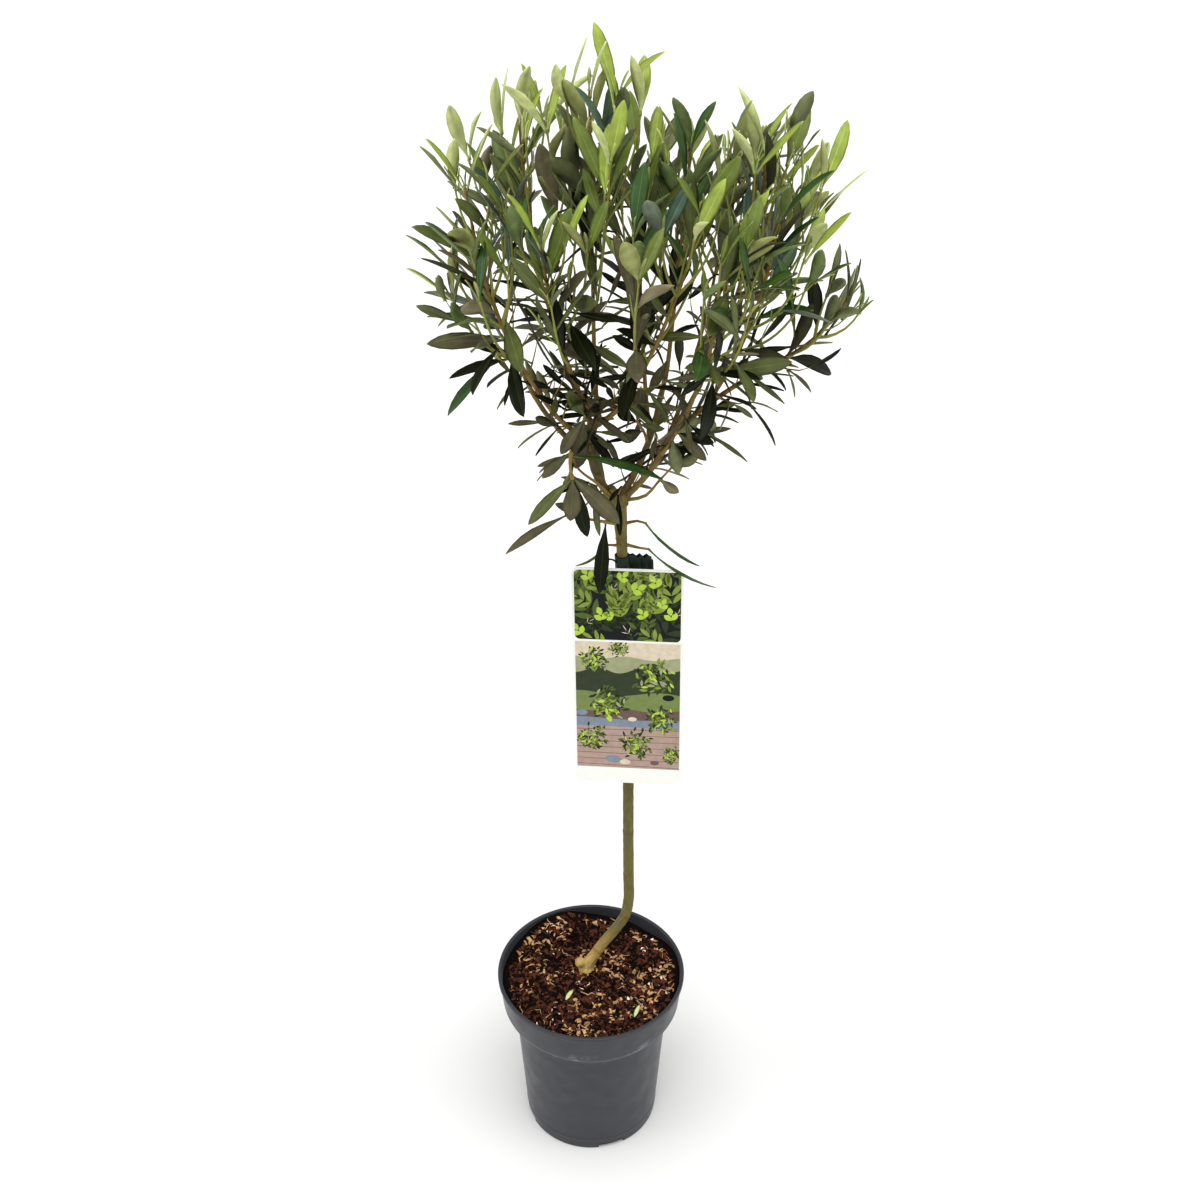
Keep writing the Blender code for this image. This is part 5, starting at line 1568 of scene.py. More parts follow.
def finished(name, finish, first, second=None, stretch=None, **constants):
    """A material with a finish's patches and relief, in one colour or two."""
    material, tree, shader = new_material(name, **constants)
    where = add_node(tree, "ShaderNodeTexCoord").outputs["Object"]
    look = FINISHES[finish]
    if second is None:
        pair = [rgba(first, share) for share in look.shares]
    else:
        pair = [rgba(first), rgba(second)]
    tree.links.new(mottle(tree, where, look.patch, look.levels, *pair), shader.inputs["Base Color"])
    if stretch:
        where = add_node(tree, "ShaderNodeMapping", {"Vector": where, "Scale": stretch}).outputs["Vector"]
    roughen(tree, shader, where, look.grain, look.height, look.strength)
    return material


def leaf_material(settings, name, side):
    """Olive leaf: a waxy cuticle that shines above, scales that dull and grey it below."""
    tint = TINTS[name]
    waxy = side == "upper"
    return finished(
        f"olive_leaf_{name}_{side}", "leaf_upper" if waxy else "leaf_under",
        getattr(settings, f"{name}_{side}"),
        Roughness=tint.roughness if waxy else UNDERSIDE_ROUGHNESS, IOR=LEAF_IOR,
        Specular_IOR_Level=tint.shine if waxy else UNDERSIDE_SHINE,
        Subsurface_Weight=tint.glow, Subsurface_Scale=LEAF_GLOW_DEPTH,
    )


def twig_material(settings, name, colour):
    """Young bark, smooth and slightly waxy, browner in patches."""
    brown = settings.bark_red if colour == "twig" else settings.bark_tan
    return finished(
        "young_olive_bark_" + name, "twig", getattr(settings, colour), brown,
        Roughness=0.6, Specular_IOR_Level=0.25)


def bark_material(settings):
    """Smooth young olive bark: dull, streaked lengthwise, redder at old leaf rings."""
    material, tree, shader = new_material("olive_bark", Roughness=0.72, Specular_IOR_Level=0.2)
    grain = add_node(tree, "ShaderNodeAttribute", attribute_name="grain").outputs["Vector"]
    rings = add_node(tree, "ShaderNodeAttribute", attribute_name="rings").outputs["Fac"]
    where = add_node(tree, "ShaderNodeTexCoord").outputs["Object"]
    height = add_node(tree, "ShaderNodeSeparateXYZ", {"Vector": where}).outputs["Z"]
    ramp = add_node(tree, "ShaderNodeValToRGB")
    low, high = BARK_HEIGHTS
    rise = add_node(tree, "ShaderNodeMapRange", {"Value": height, "From Min": low, "From Max": high})
    tree.links.new(rise.outputs["Result"], ramp.inputs["Fac"])
    stops = [(z, rgba(getattr(settings, colour), gain)) for z, colour, gain in BARK_STOPS]
    while len(ramp.color_ramp.elements) < len(stops):
        ramp.color_ramp.elements.new(1.0)
    for element, (z, colour) in zip(ramp.color_ramp.elements, stops):
        element.position = (z - low) / (high - low)
        element.color = colour
    streak = add_node(tree, "ShaderNodeTexNoise", {"Vector": grain, "Scale": 1 / STREAK_SIZE, "Detail": 4.0})
    dark = add_node(tree, "ShaderNodeMapRange", {
        "Value": streak.outputs["Fac"], "From Min": 0.3, "From Max": 0.7,
        "To Min": STREAK_SHARES[0], "To Max": STREAK_SHARES[1],
    })
    shaded = add_node(tree, "ShaderNodeMix", {
        "Factor": 1.0, 6: ramp.outputs["Color"], 7: dark.outputs["Result"],
    }, data_type="RGBA", blend_type="MULTIPLY")
    patch = add_node(tree, "ShaderNodeTexNoise", {"Vector": grain, "Scale": 1 / PATCH_SIZE, "Detail": 3.0})
    worn = add_node(tree, "ShaderNodeMapRange", {
        "Value": patch.outputs["Fac"], "From Min": PATCH_LEVELS[0], "From Max": PATCH_LEVELS[1],
        "To Max": PATCH_TINT,
    })
    shaded = add_node(tree, "ShaderNodeMix", {
        "Factor": worn.outputs["Result"], 6: shaded.outputs[2], 7: rgba(settings.bark_grey),
    }, data_type="RGBA")
    ringed = add_node(tree, "ShaderNodeMath", {0: rings, 1: RING_TINT}, operation="MULTIPLY")
    final = add_node(tree, "ShaderNodeMix", {
        "Factor": ringed.outputs["Value"], 6: shaded.outputs[2], 7: rgba(settings.bark_red),
    }, data_type="RGBA")
    tree.links.new(final.outputs[2], shader.inputs["Base Color"])
    roughen(tree, shader, grain, STREAK_SIZE / 3, STREAK_HEIGHT, STREAK_STRENGTH)
    return material


def pot_material(settings):
    """Moulded polypropylene: satin, with dusty scuffs round the shoulder and dirt at the foot."""
    material, tree, shader = new_material(
        "moulded_polypropylene", IOR=1.49, Sheen_Weight=POT_DUST, Sheen_Roughness=0.35)
    where = add_node(tree, "ShaderNodeTexCoord").outputs["Object"]
    look = FINISHES["plastic"]
    pair = [rgba(settings.plastic, share) for share in look.shares]
    plain = mottle(tree, where, look.patch, look.levels, *pair)
    height = add_node(tree, "ShaderNodeSeparateXYZ", {"Vector": where}).outputs["Z"]
    away = add_node(tree, "ShaderNodeMath", {0: height, 1: SCUFF_MIDDLE}, operation="SUBTRACT")
    away = add_node(tree, "ShaderNodeMath", {0: away.outputs[0]}, operation="ABSOLUTE")
    near = add_node(tree, "ShaderNodeMapRange", {
        "Value": away.outputs[0], "From Min": SCUFF_REACH[0], "From Max": SCUFF_REACH[1],
        "To Min": 1.0, "To Max": 0.0,
    })
    smudge = add_node(tree, "ShaderNodeTexNoise", {"Vector": where, "Scale": 1 / SCUFF_SIZE, "Detail": 6.0})
    smudged = add_node(tree, "ShaderNodeMapRange", {
        "Value": smudge.outputs["Fac"], "From Min": SCUFF_LEVELS[0], "From Max": SCUFF_LEVELS[1],
        "To Max": settings.scuff_weight,
    })
    scuff = add_node(tree, "ShaderNodeMath", {
        0: near.outputs["Result"], 1: smudged.outputs["Result"],
    }, operation="MULTIPLY")
    dusty = add_node(tree, "ShaderNodeMix", {
        "Factor": scuff.outputs[0], 6: plain, 7: rgba(settings.scuff),
    }, data_type="RGBA")
    foot = add_node(tree, "ShaderNodeMapRange", {
        "Value": height, "From Min": POT_DIRT_HEIGHT, "From Max": DIRT_FULL * POT_DIRT_HEIGHT,
    })
    speck = add_node(tree, "ShaderNodeTexNoise", {"Vector": where, "Scale": 1 / POT_SPECK, "Detail": 2.0})
    specked = add_node(tree, "ShaderNodeMapRange", {
        "Value": speck.outputs["Fac"], "From Min": SPECK_LEVELS[0], "From Max": SPECK_LEVELS[1],
    })
    dirt = add_node(tree, "ShaderNodeMath", {
        0: foot.outputs["Result"], 1: specked.outputs["Result"],
    }, operation="MULTIPLY")
    dirty = add_node(tree, "ShaderNodeMix", {
        "Factor": dirt.outputs[0], 6: dusty.outputs[2], 7: rgba(settings.dirt),
    }, data_type="RGBA")
    tree.links.new(dirty.outputs[2], shader.inputs["Base Color"])
    dull = add_node(tree, "ShaderNodeMapRange", {
        "Value": smudge.outputs["Fac"], "From Min": 0.3, "From Max": 0.7,
        "To Min": POT_ROUGHNESS[0], "To Max": POT_ROUGHNESS[1],
    })
    tree.links.new(dull.outputs["Result"], shader.inputs["Roughness"])
    roughen(tree, shader, where, look.grain, look.height, look.strength)
    return material


def earth_material(settings, name, colour, finish="chips", rough=0.8):
    """Damp bark compost and what lies in it: dull, and uneven in tone."""
    return finished(name, finish, getattr(settings, colour), Roughness=rough, Specular_IOR_Level=EARTH_SHINE)


def print_material(settings, colour):
    """Offset print on coated card: even ink with a faint paper mottle."""
    return finished(
        "printed_card_" + colour, "ink", getattr(settings, colour), Roughness=0.42, Specular_IOR_Level=0.3)


def coated_card_material(settings):
    """White coated card: nearly smooth, with a soft reflection."""
    return finished("coated_card", "card", settings.card, Roughness=0.40, Specular_IOR_Level=0.3)


def strap_material(settings):
    """Extruded polyethylene: satin, with fine drawing lines along the strap."""
    return finished(
        "extruded_polyethylene", "strap", settings.strap, stretch=DRAWING_STRETCH,
        Roughness=0.42, Specular_IOR_Level=0.3)


# ----------------------------------------------------------------------- pot

def make_pot(settings):
    """A turned pot: rolled rim, smooth band, shoulder, taper and foot bead.

    Each corner of its section is a radius, a height and the corner's rounding.
    """
    slope = (POT_WALL_RADIUS - POT_BASE_RADIUS) / POT_WALL_HEIGHT

    def wall(height, out=0.0):
        return POT_BASE_RADIUS + slope * height + out

    lip = POT_HEIGHT - RIM_LIP_HEIGHT
    bead = BASE_BEAD_HEIGHT
    corners = [
        (0.0, 0.0, 0.0),
        (POT_BASE_RADIUS, 0.0, 0.0010),
        (wall(bead - BEAD_HALF), bead - BEAD_HALF, 0.0004),
        (wall(bead, BASE_BEAD), bead, LIP_FILLET),
        (wall(bead + BEAD_HALF), bead + BEAD_HALF, 0.0004),
        (POT_WALL_RADIUS, POT_WALL_HEIGHT, SHOULDER_FILLET),
        (POT_BAND_RADIUS, POT_BAND_HEIGHT, SHOULDER_FILLET),
        (POT_RIM_RADIUS - RIM_LIP, lip - LIP_SLOPE, LIP_FILLET),
        (POT_RIM_RADIUS, lip, LIP_FILLET),
        (POT_RIM_RADIUS, POT_HEIGHT, 0.0007),
        (POT_RIM_RADIUS - RIM_LIP - POT_WALL, POT_HEIGHT, LIP_FILLET),
        (POT_BAND_RADIUS - POT_WALL, POT_BAND_HEIGHT + INNER_RISE, INNER_FILLET),
        (POT_WALL_RADIUS - POT_WALL, POT_WALL_HEIGHT + INNER_RISE, INNER_FILLET),
        (POT_BASE_RADIUS - POT_WALL, POT_FLOOR, 0.0015),
        (0.0, POT_FLOOR, 0.0),
    ]
    points, faces = turned_shape(rounded(corners), POT_SIDES)
    pot = new_piece("pot_moulded", points, faces, [pot_material(settings)])
    cutters = [slot_cutter(2 * pi * k / POT_SLOTS + radians(SLOT_AZIMUTH)) for k in range(POT_SLOTS)]
    for cutter in cutters:
        cut = pot.modifiers.new("slot", "BOOLEAN")
        cut.object = cutter
    settle(pot)
    for cutter in cutters:
        bpy.data.objects.remove(cutter)
    pot.data.shade_smooth()
    pot.data.set_sharp_from_angle(angle=radians(40.0))
    dress(pot, "pot_plastic", "pot")


def slot_cutter(angle):
    """A box across the base's edge, with its place in its mesh."""
    work = bmesh.new()
    bmesh.ops.create_cube(work, size=1.0)
    reach = POT_BASE_RADIUS - SLOT_DEPTH / 2 + SLOT_OVERLAP
    size = (SLOT_DEPTH + 2 * SLOT_OVERLAP, SLOT_WIDTH, SLOT_HEIGHT * 2)
    for vert in work.verts:
        x, y, z = (a * b for a, b in zip(vert.co, size))
        x += reach
        vert.co = (x * cos(angle) - y * sin(angle), x * sin(angle) + y * cos(angle), z)
    mesh = bpy.data.meshes.new("slot_cutter")
    work.to_mesh(mesh)
    work.free()
    cutter = bpy.data.objects.new("slot_cutter", mesh)
    bpy.context.scene.collection.objects.link(cutter)
    return cutter


# ---------------------------------------------------------------------- soil

def soil_height(x, y, relief):
    """The crumbly surface of the soil, mounded toward the stem."""
    radius = np.hypot(x, y)
    crest = np.interp(radius, (0.0, SOIL_FLAT_RADIUS, POT_BAND_RADIUS), (1.0, 1.0, 0.0))
    level = SOIL_EDGE_HEIGHT + (SOIL_TOP_HEIGHT - SOIL_EDGE_HEIGHT) * crest
    for heap_x, heap_y, size, rise in HEAPS:
        level += rise * exp(-((x - heap_x) ** 2 + (y - heap_y) ** 2) / size ** 2)
    broad = noise.noise(Vector((x, y, 0.3)) / SWELL_SIZE)
    crumbs = noise.noise(Vector((x, y, 0.7)) / CRUMB_SIZE)
    return level + relief * (broad + CRUMB_SHARE * crumbs) - relief * SWELL_SUNK


def soil_wall(height):
    """The soil's radius against the pot's wall at a height."""
    heights = (0.0, POT_WALL_HEIGHT, POT_BAND_HEIGHT, POT_HEIGHT)
    radii = (POT_BASE_RADIUS, POT_WALL_RADIUS, POT_BAND_RADIUS, POT_RIM_RADIUS - RIM_LIP)
    return float(np.interp(height, heights, radii)) - POT_WALL + 0.0004


def make_soil(settings):
    """The soil's body, then chips, grains and fibres strewn over it."""
    body = [(0.0, POT_FLOOR)]
    for height in (POT_FLOOR, POT_WALL_HEIGHT, POT_BAND_HEIGHT, SOIL_EDGE_HEIGHT - 0.002):
        body.append((soil_wall(height), height))
    edge = soil_wall(SOIL_EDGE_HEIGHT)
    body += [(edge * k / SOIL_RINGS, SOIL_EDGE_HEIGHT) for k in range(SOIL_RINGS, 0, -1)]
    body.append((0.0, SOIL_EDGE_HEIGHT))
    points, faces = turned_shape(body, SOIL_SPOKES)
    points = [
        (x, y, soil_height(x, y, settings.relief) if z >= SOIL_EDGE_HEIGHT else z)
        for x, y, z in points
    ]
    compost = earth_material(settings, "bark_compost", "soil", "compost", 0.9)
    soil = new_piece("soil_compost", points, faces, [compost])
    dress(soil, "soil", "soil")
    bed_radius = soil_wall(SOIL_EDGE_HEIGHT) - STREWN_MARGIN
    top = [face for face in faces if all(
        points[corner][2] > SOIL_EDGE_HEIGHT - STREWN_DEPTH and hypot(*points[corner][:2]) < bed_radius
        for corner in face)]
    for name, colour, kind, count, low, high, thinned, seed in STREWN:
        kept = [face for face in top if thinned is None or cluster(points[face[0]], seed) > thinned]
        bed = new_piece("bed", points, kept, [])
        strew(settings, bed, name, colour, kind, (count / len(kept) * len(top), low, high, seed))
    lay_clippings(settings)


def cluster(point, seed):
    """How thick a kind lies at a point: noise that is 0 at its middle."""
    return noise.noise(Vector((point[0], point[1], 0.05 * seed)) / CLUSTER_SIZE)


def curl(rng):
    """A flat shaving of wood bent in an arc, 1 long."""
    arc = radians(rng.uniform(*CURL_ARC))
    angles = np.linspace(-arc / 2, arc / 2, len(CURL_TAPERS))
    path = np.stack((np.sin(angles) / arc, np.zeros(len(angles)), np.cos(angles) / arc), axis=1)
    half = rng.uniform(*CURL_WIDTHS)
    points, faces = [], []
    for place, angle, taper in zip(path, angles, CURL_TAPERS):
        out = np.array((sin(angle), 0.0, cos(angle))) * half * CURL_THICKNESS / 2
        side = np.array((0.0, half * taper * rng.uniform(*CURL_SCATTER), 0.0))
        points += [place - side - out, place - side + out, place + side + out, place + side - out]
    last = 4 * (len(path) - 1)
    for low in range(0, last, 4):
        for k in range(4):
            after = (k + 1) % 4
            faces.append((low + k, low + 4 + k, low + 4 + after, low + after))
    faces += [(0, 1, 2, 3), (last + 3, last + 2, last + 1, last)]
    return np.array(points) - path.mean(axis=0), faces


def chip_shapes(kind, seed):
    """Loose lumps, curls or fibres, 1 long, for a tree of nodes to strew."""
    rng = np.random.default_rng(seed)
    group = bpy.data.collections.new(kind + "_shapes")
    bpy.context.scene.collection.children.link(group)
    for k in range(CHIP_VARIANTS):
        mesh = bpy.data.meshes.new(kind)
        if kind == "fibre":
            bend = rng.normal(0.0, FIBRE_WANDER, (len(FIBRE_TAPERS), 3)).cumsum(axis=0)
            along = np.linspace(-0.5, 0.5, len(FIBRE_TAPERS))
            path = np.stack((along, bend[:, 1], bend[:, 2] * FIBRE_LOWNESS), axis=1)
            points, faces = tube(path, np.array(FIBRE_TAPERS) * FIBRE_RADIUS, 4)
            mesh.from_pydata(points.tolist(), [], faces)
        elif kind == "curl":
            points, faces = curl(rng)
            mesh.from_pydata(points.tolist(), [], faces)
        else:
            work = bmesh.new()
            spots = rng.normal(size=(CHIP_CORNERS, 3))
            spots /= np.linalg.norm(spots, axis=1)[:, None]
            for spot in spots * rng.uniform(*CHIP_RADII, (CHIP_CORNERS, 1)) * CHIP_SHAPES[kind]:
                work.verts.new(spot)
            bmesh.ops.convex_hull(work, input=work.verts)
            bmesh.ops.recalc_face_normals(work, faces=work.faces)
            work.to_mesh(mesh)
            work.free()
        shape = bpy.data.objects.new(f"{kind}_{k}", mesh)
        group.objects.link(shape)
    return group


def strew_tree(name, group, material):
    """Nodes that strew a collection's shapes over a bed and make them real."""
    tree = bpy.data.node_groups.new(name, "GeometryNodeTree")
    face = tree.interface
    face.new_socket("Bed", in_out="INPUT", socket_type="NodeSocketGeometry")
    sockets = {}
    for label, kind in (("Density", "NodeSocketFloat"), ("Smallest", "NodeSocketFloat"),
                        ("Largest", "NodeSocketFloat"), ("Seed", "NodeSocketInt")):
        sockets[label] = face.new_socket(label, in_out="INPUT", socket_type=kind).identifier
    face.new_socket("Pieces", in_out="OUTPUT", socket_type="NodeSocketGeometry")
    given = add_node(tree, "NodeGroupInput").outputs
    dots = add_node(tree, "GeometryNodeDistributePointsOnFaces", {
        "Mesh": given["Bed"], "Density": given["Density"], "Seed": given["Seed"],
    })
    turn = add_node(tree, "FunctionNodeRandomValue", {
        0: (-CHIP_LEAN, -CHIP_LEAN, 0.0), 1: (CHIP_LEAN, CHIP_LEAN, 2 * pi), "Seed": given["Seed"],
    }, data_type="FLOAT_VECTOR")
    size = add_node(tree, "FunctionNodeRandomValue", {
        2: given["Smallest"], 3: given["Largest"], "Seed": given["Seed"],
    }, data_type="FLOAT")
    shapes = add_node(tree, "GeometryNodeCollectionInfo", {
        "Collection": group, "Separate Children": True, "Reset Children": True,
    })
    laid = add_node(tree, "GeometryNodeInstanceOnPoints", {
        "Points": dots.outputs["Points"], "Instance": shapes.outputs[0], "Pick Instance": True,
        "Rotation": turn.outputs[0], "Scale": size.outputs[1],
    })
    real = add_node(tree, "GeometryNodeRealizeInstances", {"Geometry": laid.outputs[0]})
    painted = add_node(tree, "GeometryNodeSetMaterial", {"Geometry": real.outputs[0], "Material": material})
    add_node(tree, "NodeGroupOutput", {"Pieces": painted.outputs[0]})
    return tree, sockets


def strew(settings, bed, name, colour, kind, sizes):
    """Strew one kind of chip over the bed and keep the plain mesh."""
    count, low, high, seed = sizes
    material = earth_material(settings, "compost_" + name, colour)
    group = chip_shapes(kind, seed)
    tree, sockets = strew_tree("strew_" + name, group, material)
    modifier = bed.modifiers.new("strew", "NODES")
    modifier.node_group = tree
    area = pi * soil_wall(SOIL_EDGE_HEIGHT) ** 2
    for label, value in (("Density", count / area), ("Smallest", low), ("Largest", high), ("Seed", seed)):
        modifier[sockets[label]] = value
    settle(bed)
    bed.name = bed.data.name = "soil_" + name
    for shape in list(group.objects):
        bpy.data.objects.remove(shape)
    bpy.data.collections.remove(group)
    dress(bed, "soil")


def lay_clippings(settings):
    """A few pale leaf clippings that lie on the soil."""
    material = earth_material(settings, "leaf_clipping", "clipping", "clipping", 0.6)
    parts = []
    for x, y, azimuth, length, width in CLIPPINGS:
        base = np.array((x, y, soil_height(x, y, settings.relief) + CLIPPING_LIFT))
        way = heading(azimuth, CLIPPING_RISE)
        last = len(CLIPPING_WIDTHS) - 1
        path = np.array([
            base + way * length * (k / last - 0.5) + UP * CLIPPING_ARCH * sin(pi * k / last)
            for k in range(last + 1)
        ])
        points, faces = tube(path, np.array(CLIPPING_WIDTHS) * width / 2, CLIPPING_SIDES)
        middle = np.repeat(path, CLIPPING_SIDES, axis=0)
        parts.append((points * (1, 1, CLIPPING_FLATNESS) + middle * (0, 0, 1 - CLIPPING_FLATNESS), faces))
    points, faces = joined(parts)
    dress(new_piece("soil_clippings", points, faces, [material]), "soil")


# --------------------------------------------------------------------- label

def on_card(x, z, out):
    """A point of the card's front from its own middle, right and up."""
    top, across, down, before = card_frame()
    return top + across * x + down * (CARD_HEIGHT / 2 - z) + before * (CARD_THICKNESS + out)


def rounded_box(left, bottom, right, top, corner, steps=8):
    """The outline of a box with round corners, anticlockwise."""
    outline = []
    for x, z, start in ((right, top, 0), (left, top, 90), (left, bottom, 180), (right, bottom, 270)):
        inner_x = x - corner if x == right else x + corner
        inner_z = z - corner if z == top else z + corner
        for k in range(steps + 1):
            angle = radians(start + 90 * k / steps)
            outline.append((inner_x + corner * cos(angle), inner_z + corner * sin(angle)))
    return outline


def plate(outline, back, front):
    """A flat closed plate on the card, between two depths out of it."""
    count = len(outline)
    points = [on_card(x, z, out) for out in (front, back) for x, z in outline]
    faces = [tuple(range(count)), tuple(range(count, 2 * count))[::-1]]
    faces += [((k + 1) % count, k, k + count, (k + 1) % count + count) for k in range(count)]
    return points, faces


def wave_band(left, right, low, high):
    """The outline of a band whose two edges are waves (height, rise, turns, start)."""
    edges = []
    for height, rise, turns, start in (low, high):
        xs = np.linspace(left, right, WAVE_STEPS)
        share = (xs - left) / (right - left)
        edges.append(list(zip(xs, height + rise * np.sin(2 * pi * (turns * share + start)))))
    return edges[0] + edges[1][::-1]


def blade_outline(x, z, length, width, angle):
    """The outline of a plain pointed blade that rises from a point."""
    t = radians(angle)
    outline = []
    for side in (-1, 1):
        for k in range(BLADE_STEPS + 1):
            along = length * (k / BLADE_STEPS if side < 0 else 1 - k / BLADE_STEPS)
            aside = side * width / 2 * abs(sin(pi * along / length)) ** BLADE_POINT
            outline.append((x + along * sin(t) - aside * cos(t), z + along * cos(t) + aside * sin(t)))
    return outline[:-1]


def clipped(outline, frame):
    """An outline cut off at a convex frame, both anticlockwise."""
    for (ax, az), (bx, bz) in zip(frame, frame[1:] + frame[:1]):
        sides = [(bx - ax) * (z - az) - (bz - az) * (x - ax) for x, z in outline]
        kept = []
        for k, ((x, z), here) in enumerate(zip(outline, sides)):
            (last_x, last_z), before = outline[k - 1], sides[k - 1]
            if (here < 0) != (before < 0):
                t = before / (before - here)
                kept.append((last_x + (x - last_x) * t, last_z + (z - last_z) * t))
            if here >= 0:
                kept.append((x, z))
        outline = kept
    return outline


def sprig(x, z, angle, pairs, length, width):
    """The outlines of a small twig's blades: pairs, then one at its tip."""
    t = radians(angle)
    outlines = []
    for k in range(pairs + 1):
        along = length * SPRIG_SPACING * k
        for aside in (-SPRIG_OPENING, SPRIG_OPENING) if k < pairs else (0.0,):
            root = (x + along * sin(t), z + along * cos(t))
            outlines.append(blade_outline(*root, length, width, angle + aside))
    return outlines


def panel_layers(left, low, right, high, rng):
    """Sprigs over a dark panel: the colour, layer and outline of each blade."""
    frame = rounded_box(left, low, right, high, CARD_CORNER - CARD_BORDER)
    layers = [("night", 1, frame)]
    for layer, (colour, number, pairs, lengths, aspect) in enumerate(SPRIGS, 2):
        for k in range(number):
            x = left + (right - left) * ((k + rng.uniform(0.1, 0.9)) / number)
            z = rng.uniform(low - SPRIG_BELOW, high - SPRIG_UNDER)
            length = rng.uniform(*lengths)
            lean = rng.uniform(-SPRIG_LEAN, SPRIG_LEAN)
            blades = sprig(x, z, lean, pairs, length, length * aspect)
            layers += [(colour, layer, clipped(blade, frame)) for blade in blades]
    return layers


def field_layers(left, low, right, high, rng):
    """Bands, tufts and pebbles over the lower field, in the same form."""
    frame = [(left, low), (right, low), (right, high), (left, high)]
    layers = []
    foot = (low, 0.0, 1.0, 0.0)
    for share, rise, turns, start, colour in BANDS:
        edge = (low + share * (high - low), rise, turns, start)
        layers.append((colour, 1, wave_band(left, right, foot, edge)))
        foot = edge
    boards = low + BANDS[0][0] * (high - low)
    for k in range(PLANKS):
        z = low + (boards - low) * (k + 0.5) / PLANKS
        tilt = (k - PLANKS / 2) * PLANK_FAN
        line = [(left, z), (right, z + tilt), (right, z + tilt + PLANK_LINE), (left, z + PLANK_LINE)]
        layers.append(("umber", 2, clipped(line, frame)))
    for x, share, size, colour in PEBBLES:
        z = low + share * (high - low)
        turns = 2 * pi * np.arange(PEBBLE_STEPS) / PEBBLE_STEPS
        ring = [(x + size * cos(turn), z + PEBBLE_FLATNESS * size * sin(turn)) for turn in turns]
        layers.append((colour, 3, clipped(ring, frame)))
    for x, share, radius in TUFTS:
        z = low + share * (high - low)
        for layer, (colour, number) in enumerate(TUFT_PASSES, 4):
            for _ in range(number):
                way, out = rng.uniform(0.0, 2 * pi), radius * rng.uniform(0.0, TUFT_REACH) ** TUFT_CLOSENESS
                length = radius * rng.uniform(*TUFT_BLADES)
                start = (x + out * cos(way), z + out * sin(way))
                blade = blade_outline(*start, length, length * TUFT_ASPECT, rng.uniform(0.0, 360.0))
                layers.append((colour, layer, clipped(blade, frame)))
    return layers


def print_layers():
    """Every motif of the print: its colour, layer and outline."""
    rng = np.random.default_rng(PRINT_SEED)
    half = CARD_WIDTH / 2 - CARD_BORDER
    top = CARD_HEIGHT / 2 - CARD_BORDER
    foot = -CARD_HEIGHT / 2 + CARD_FOOT
    split = top - PANEL_SHARE * (top - foot)
    layers = panel_layers(-half, split, half, top, rng)
    layers += field_layers(-half, foot, half, split - DIVIDER, rng)
    return [motif for motif in layers if len(motif[2]) > 2]


def make_label(settings):
    """The card with its border, its generic print, and the strap."""
    outline = rounded_box(-CARD_WIDTH / 2, -CARD_HEIGHT / 2, CARD_WIDTH / 2, CARD_HEIGHT / 2, CARD_CORNER)
    points, faces = plate(outline, -CARD_THICKNESS, 0.0)
    card = new_piece("label_card_coated", points, faces, [coated_card_material(settings)], smooth=False)
    edge = card.modifiers.new("edge", "BEVEL")
    edge.width = CARD_EDGE
    edge.segments = 2
    edge.limit_method = "ANGLE"
    settle(card)
    dress(card, "label_card", "label_card")
    used = {}
    for colour, layer, outline in print_layers():
        used.setdefault(colour, []).append(plate(outline, 0.0, INK_HEIGHT * layer))
    for colour, plates in used.items():
        points, faces = joined([(np.array(p), f) for p, f in plates])
        ink = new_piece("print_" + colour, points, faces, [print_material(settings, colour)], smooth=False)
        dress(ink, "label_card")
    make_strap(settings)


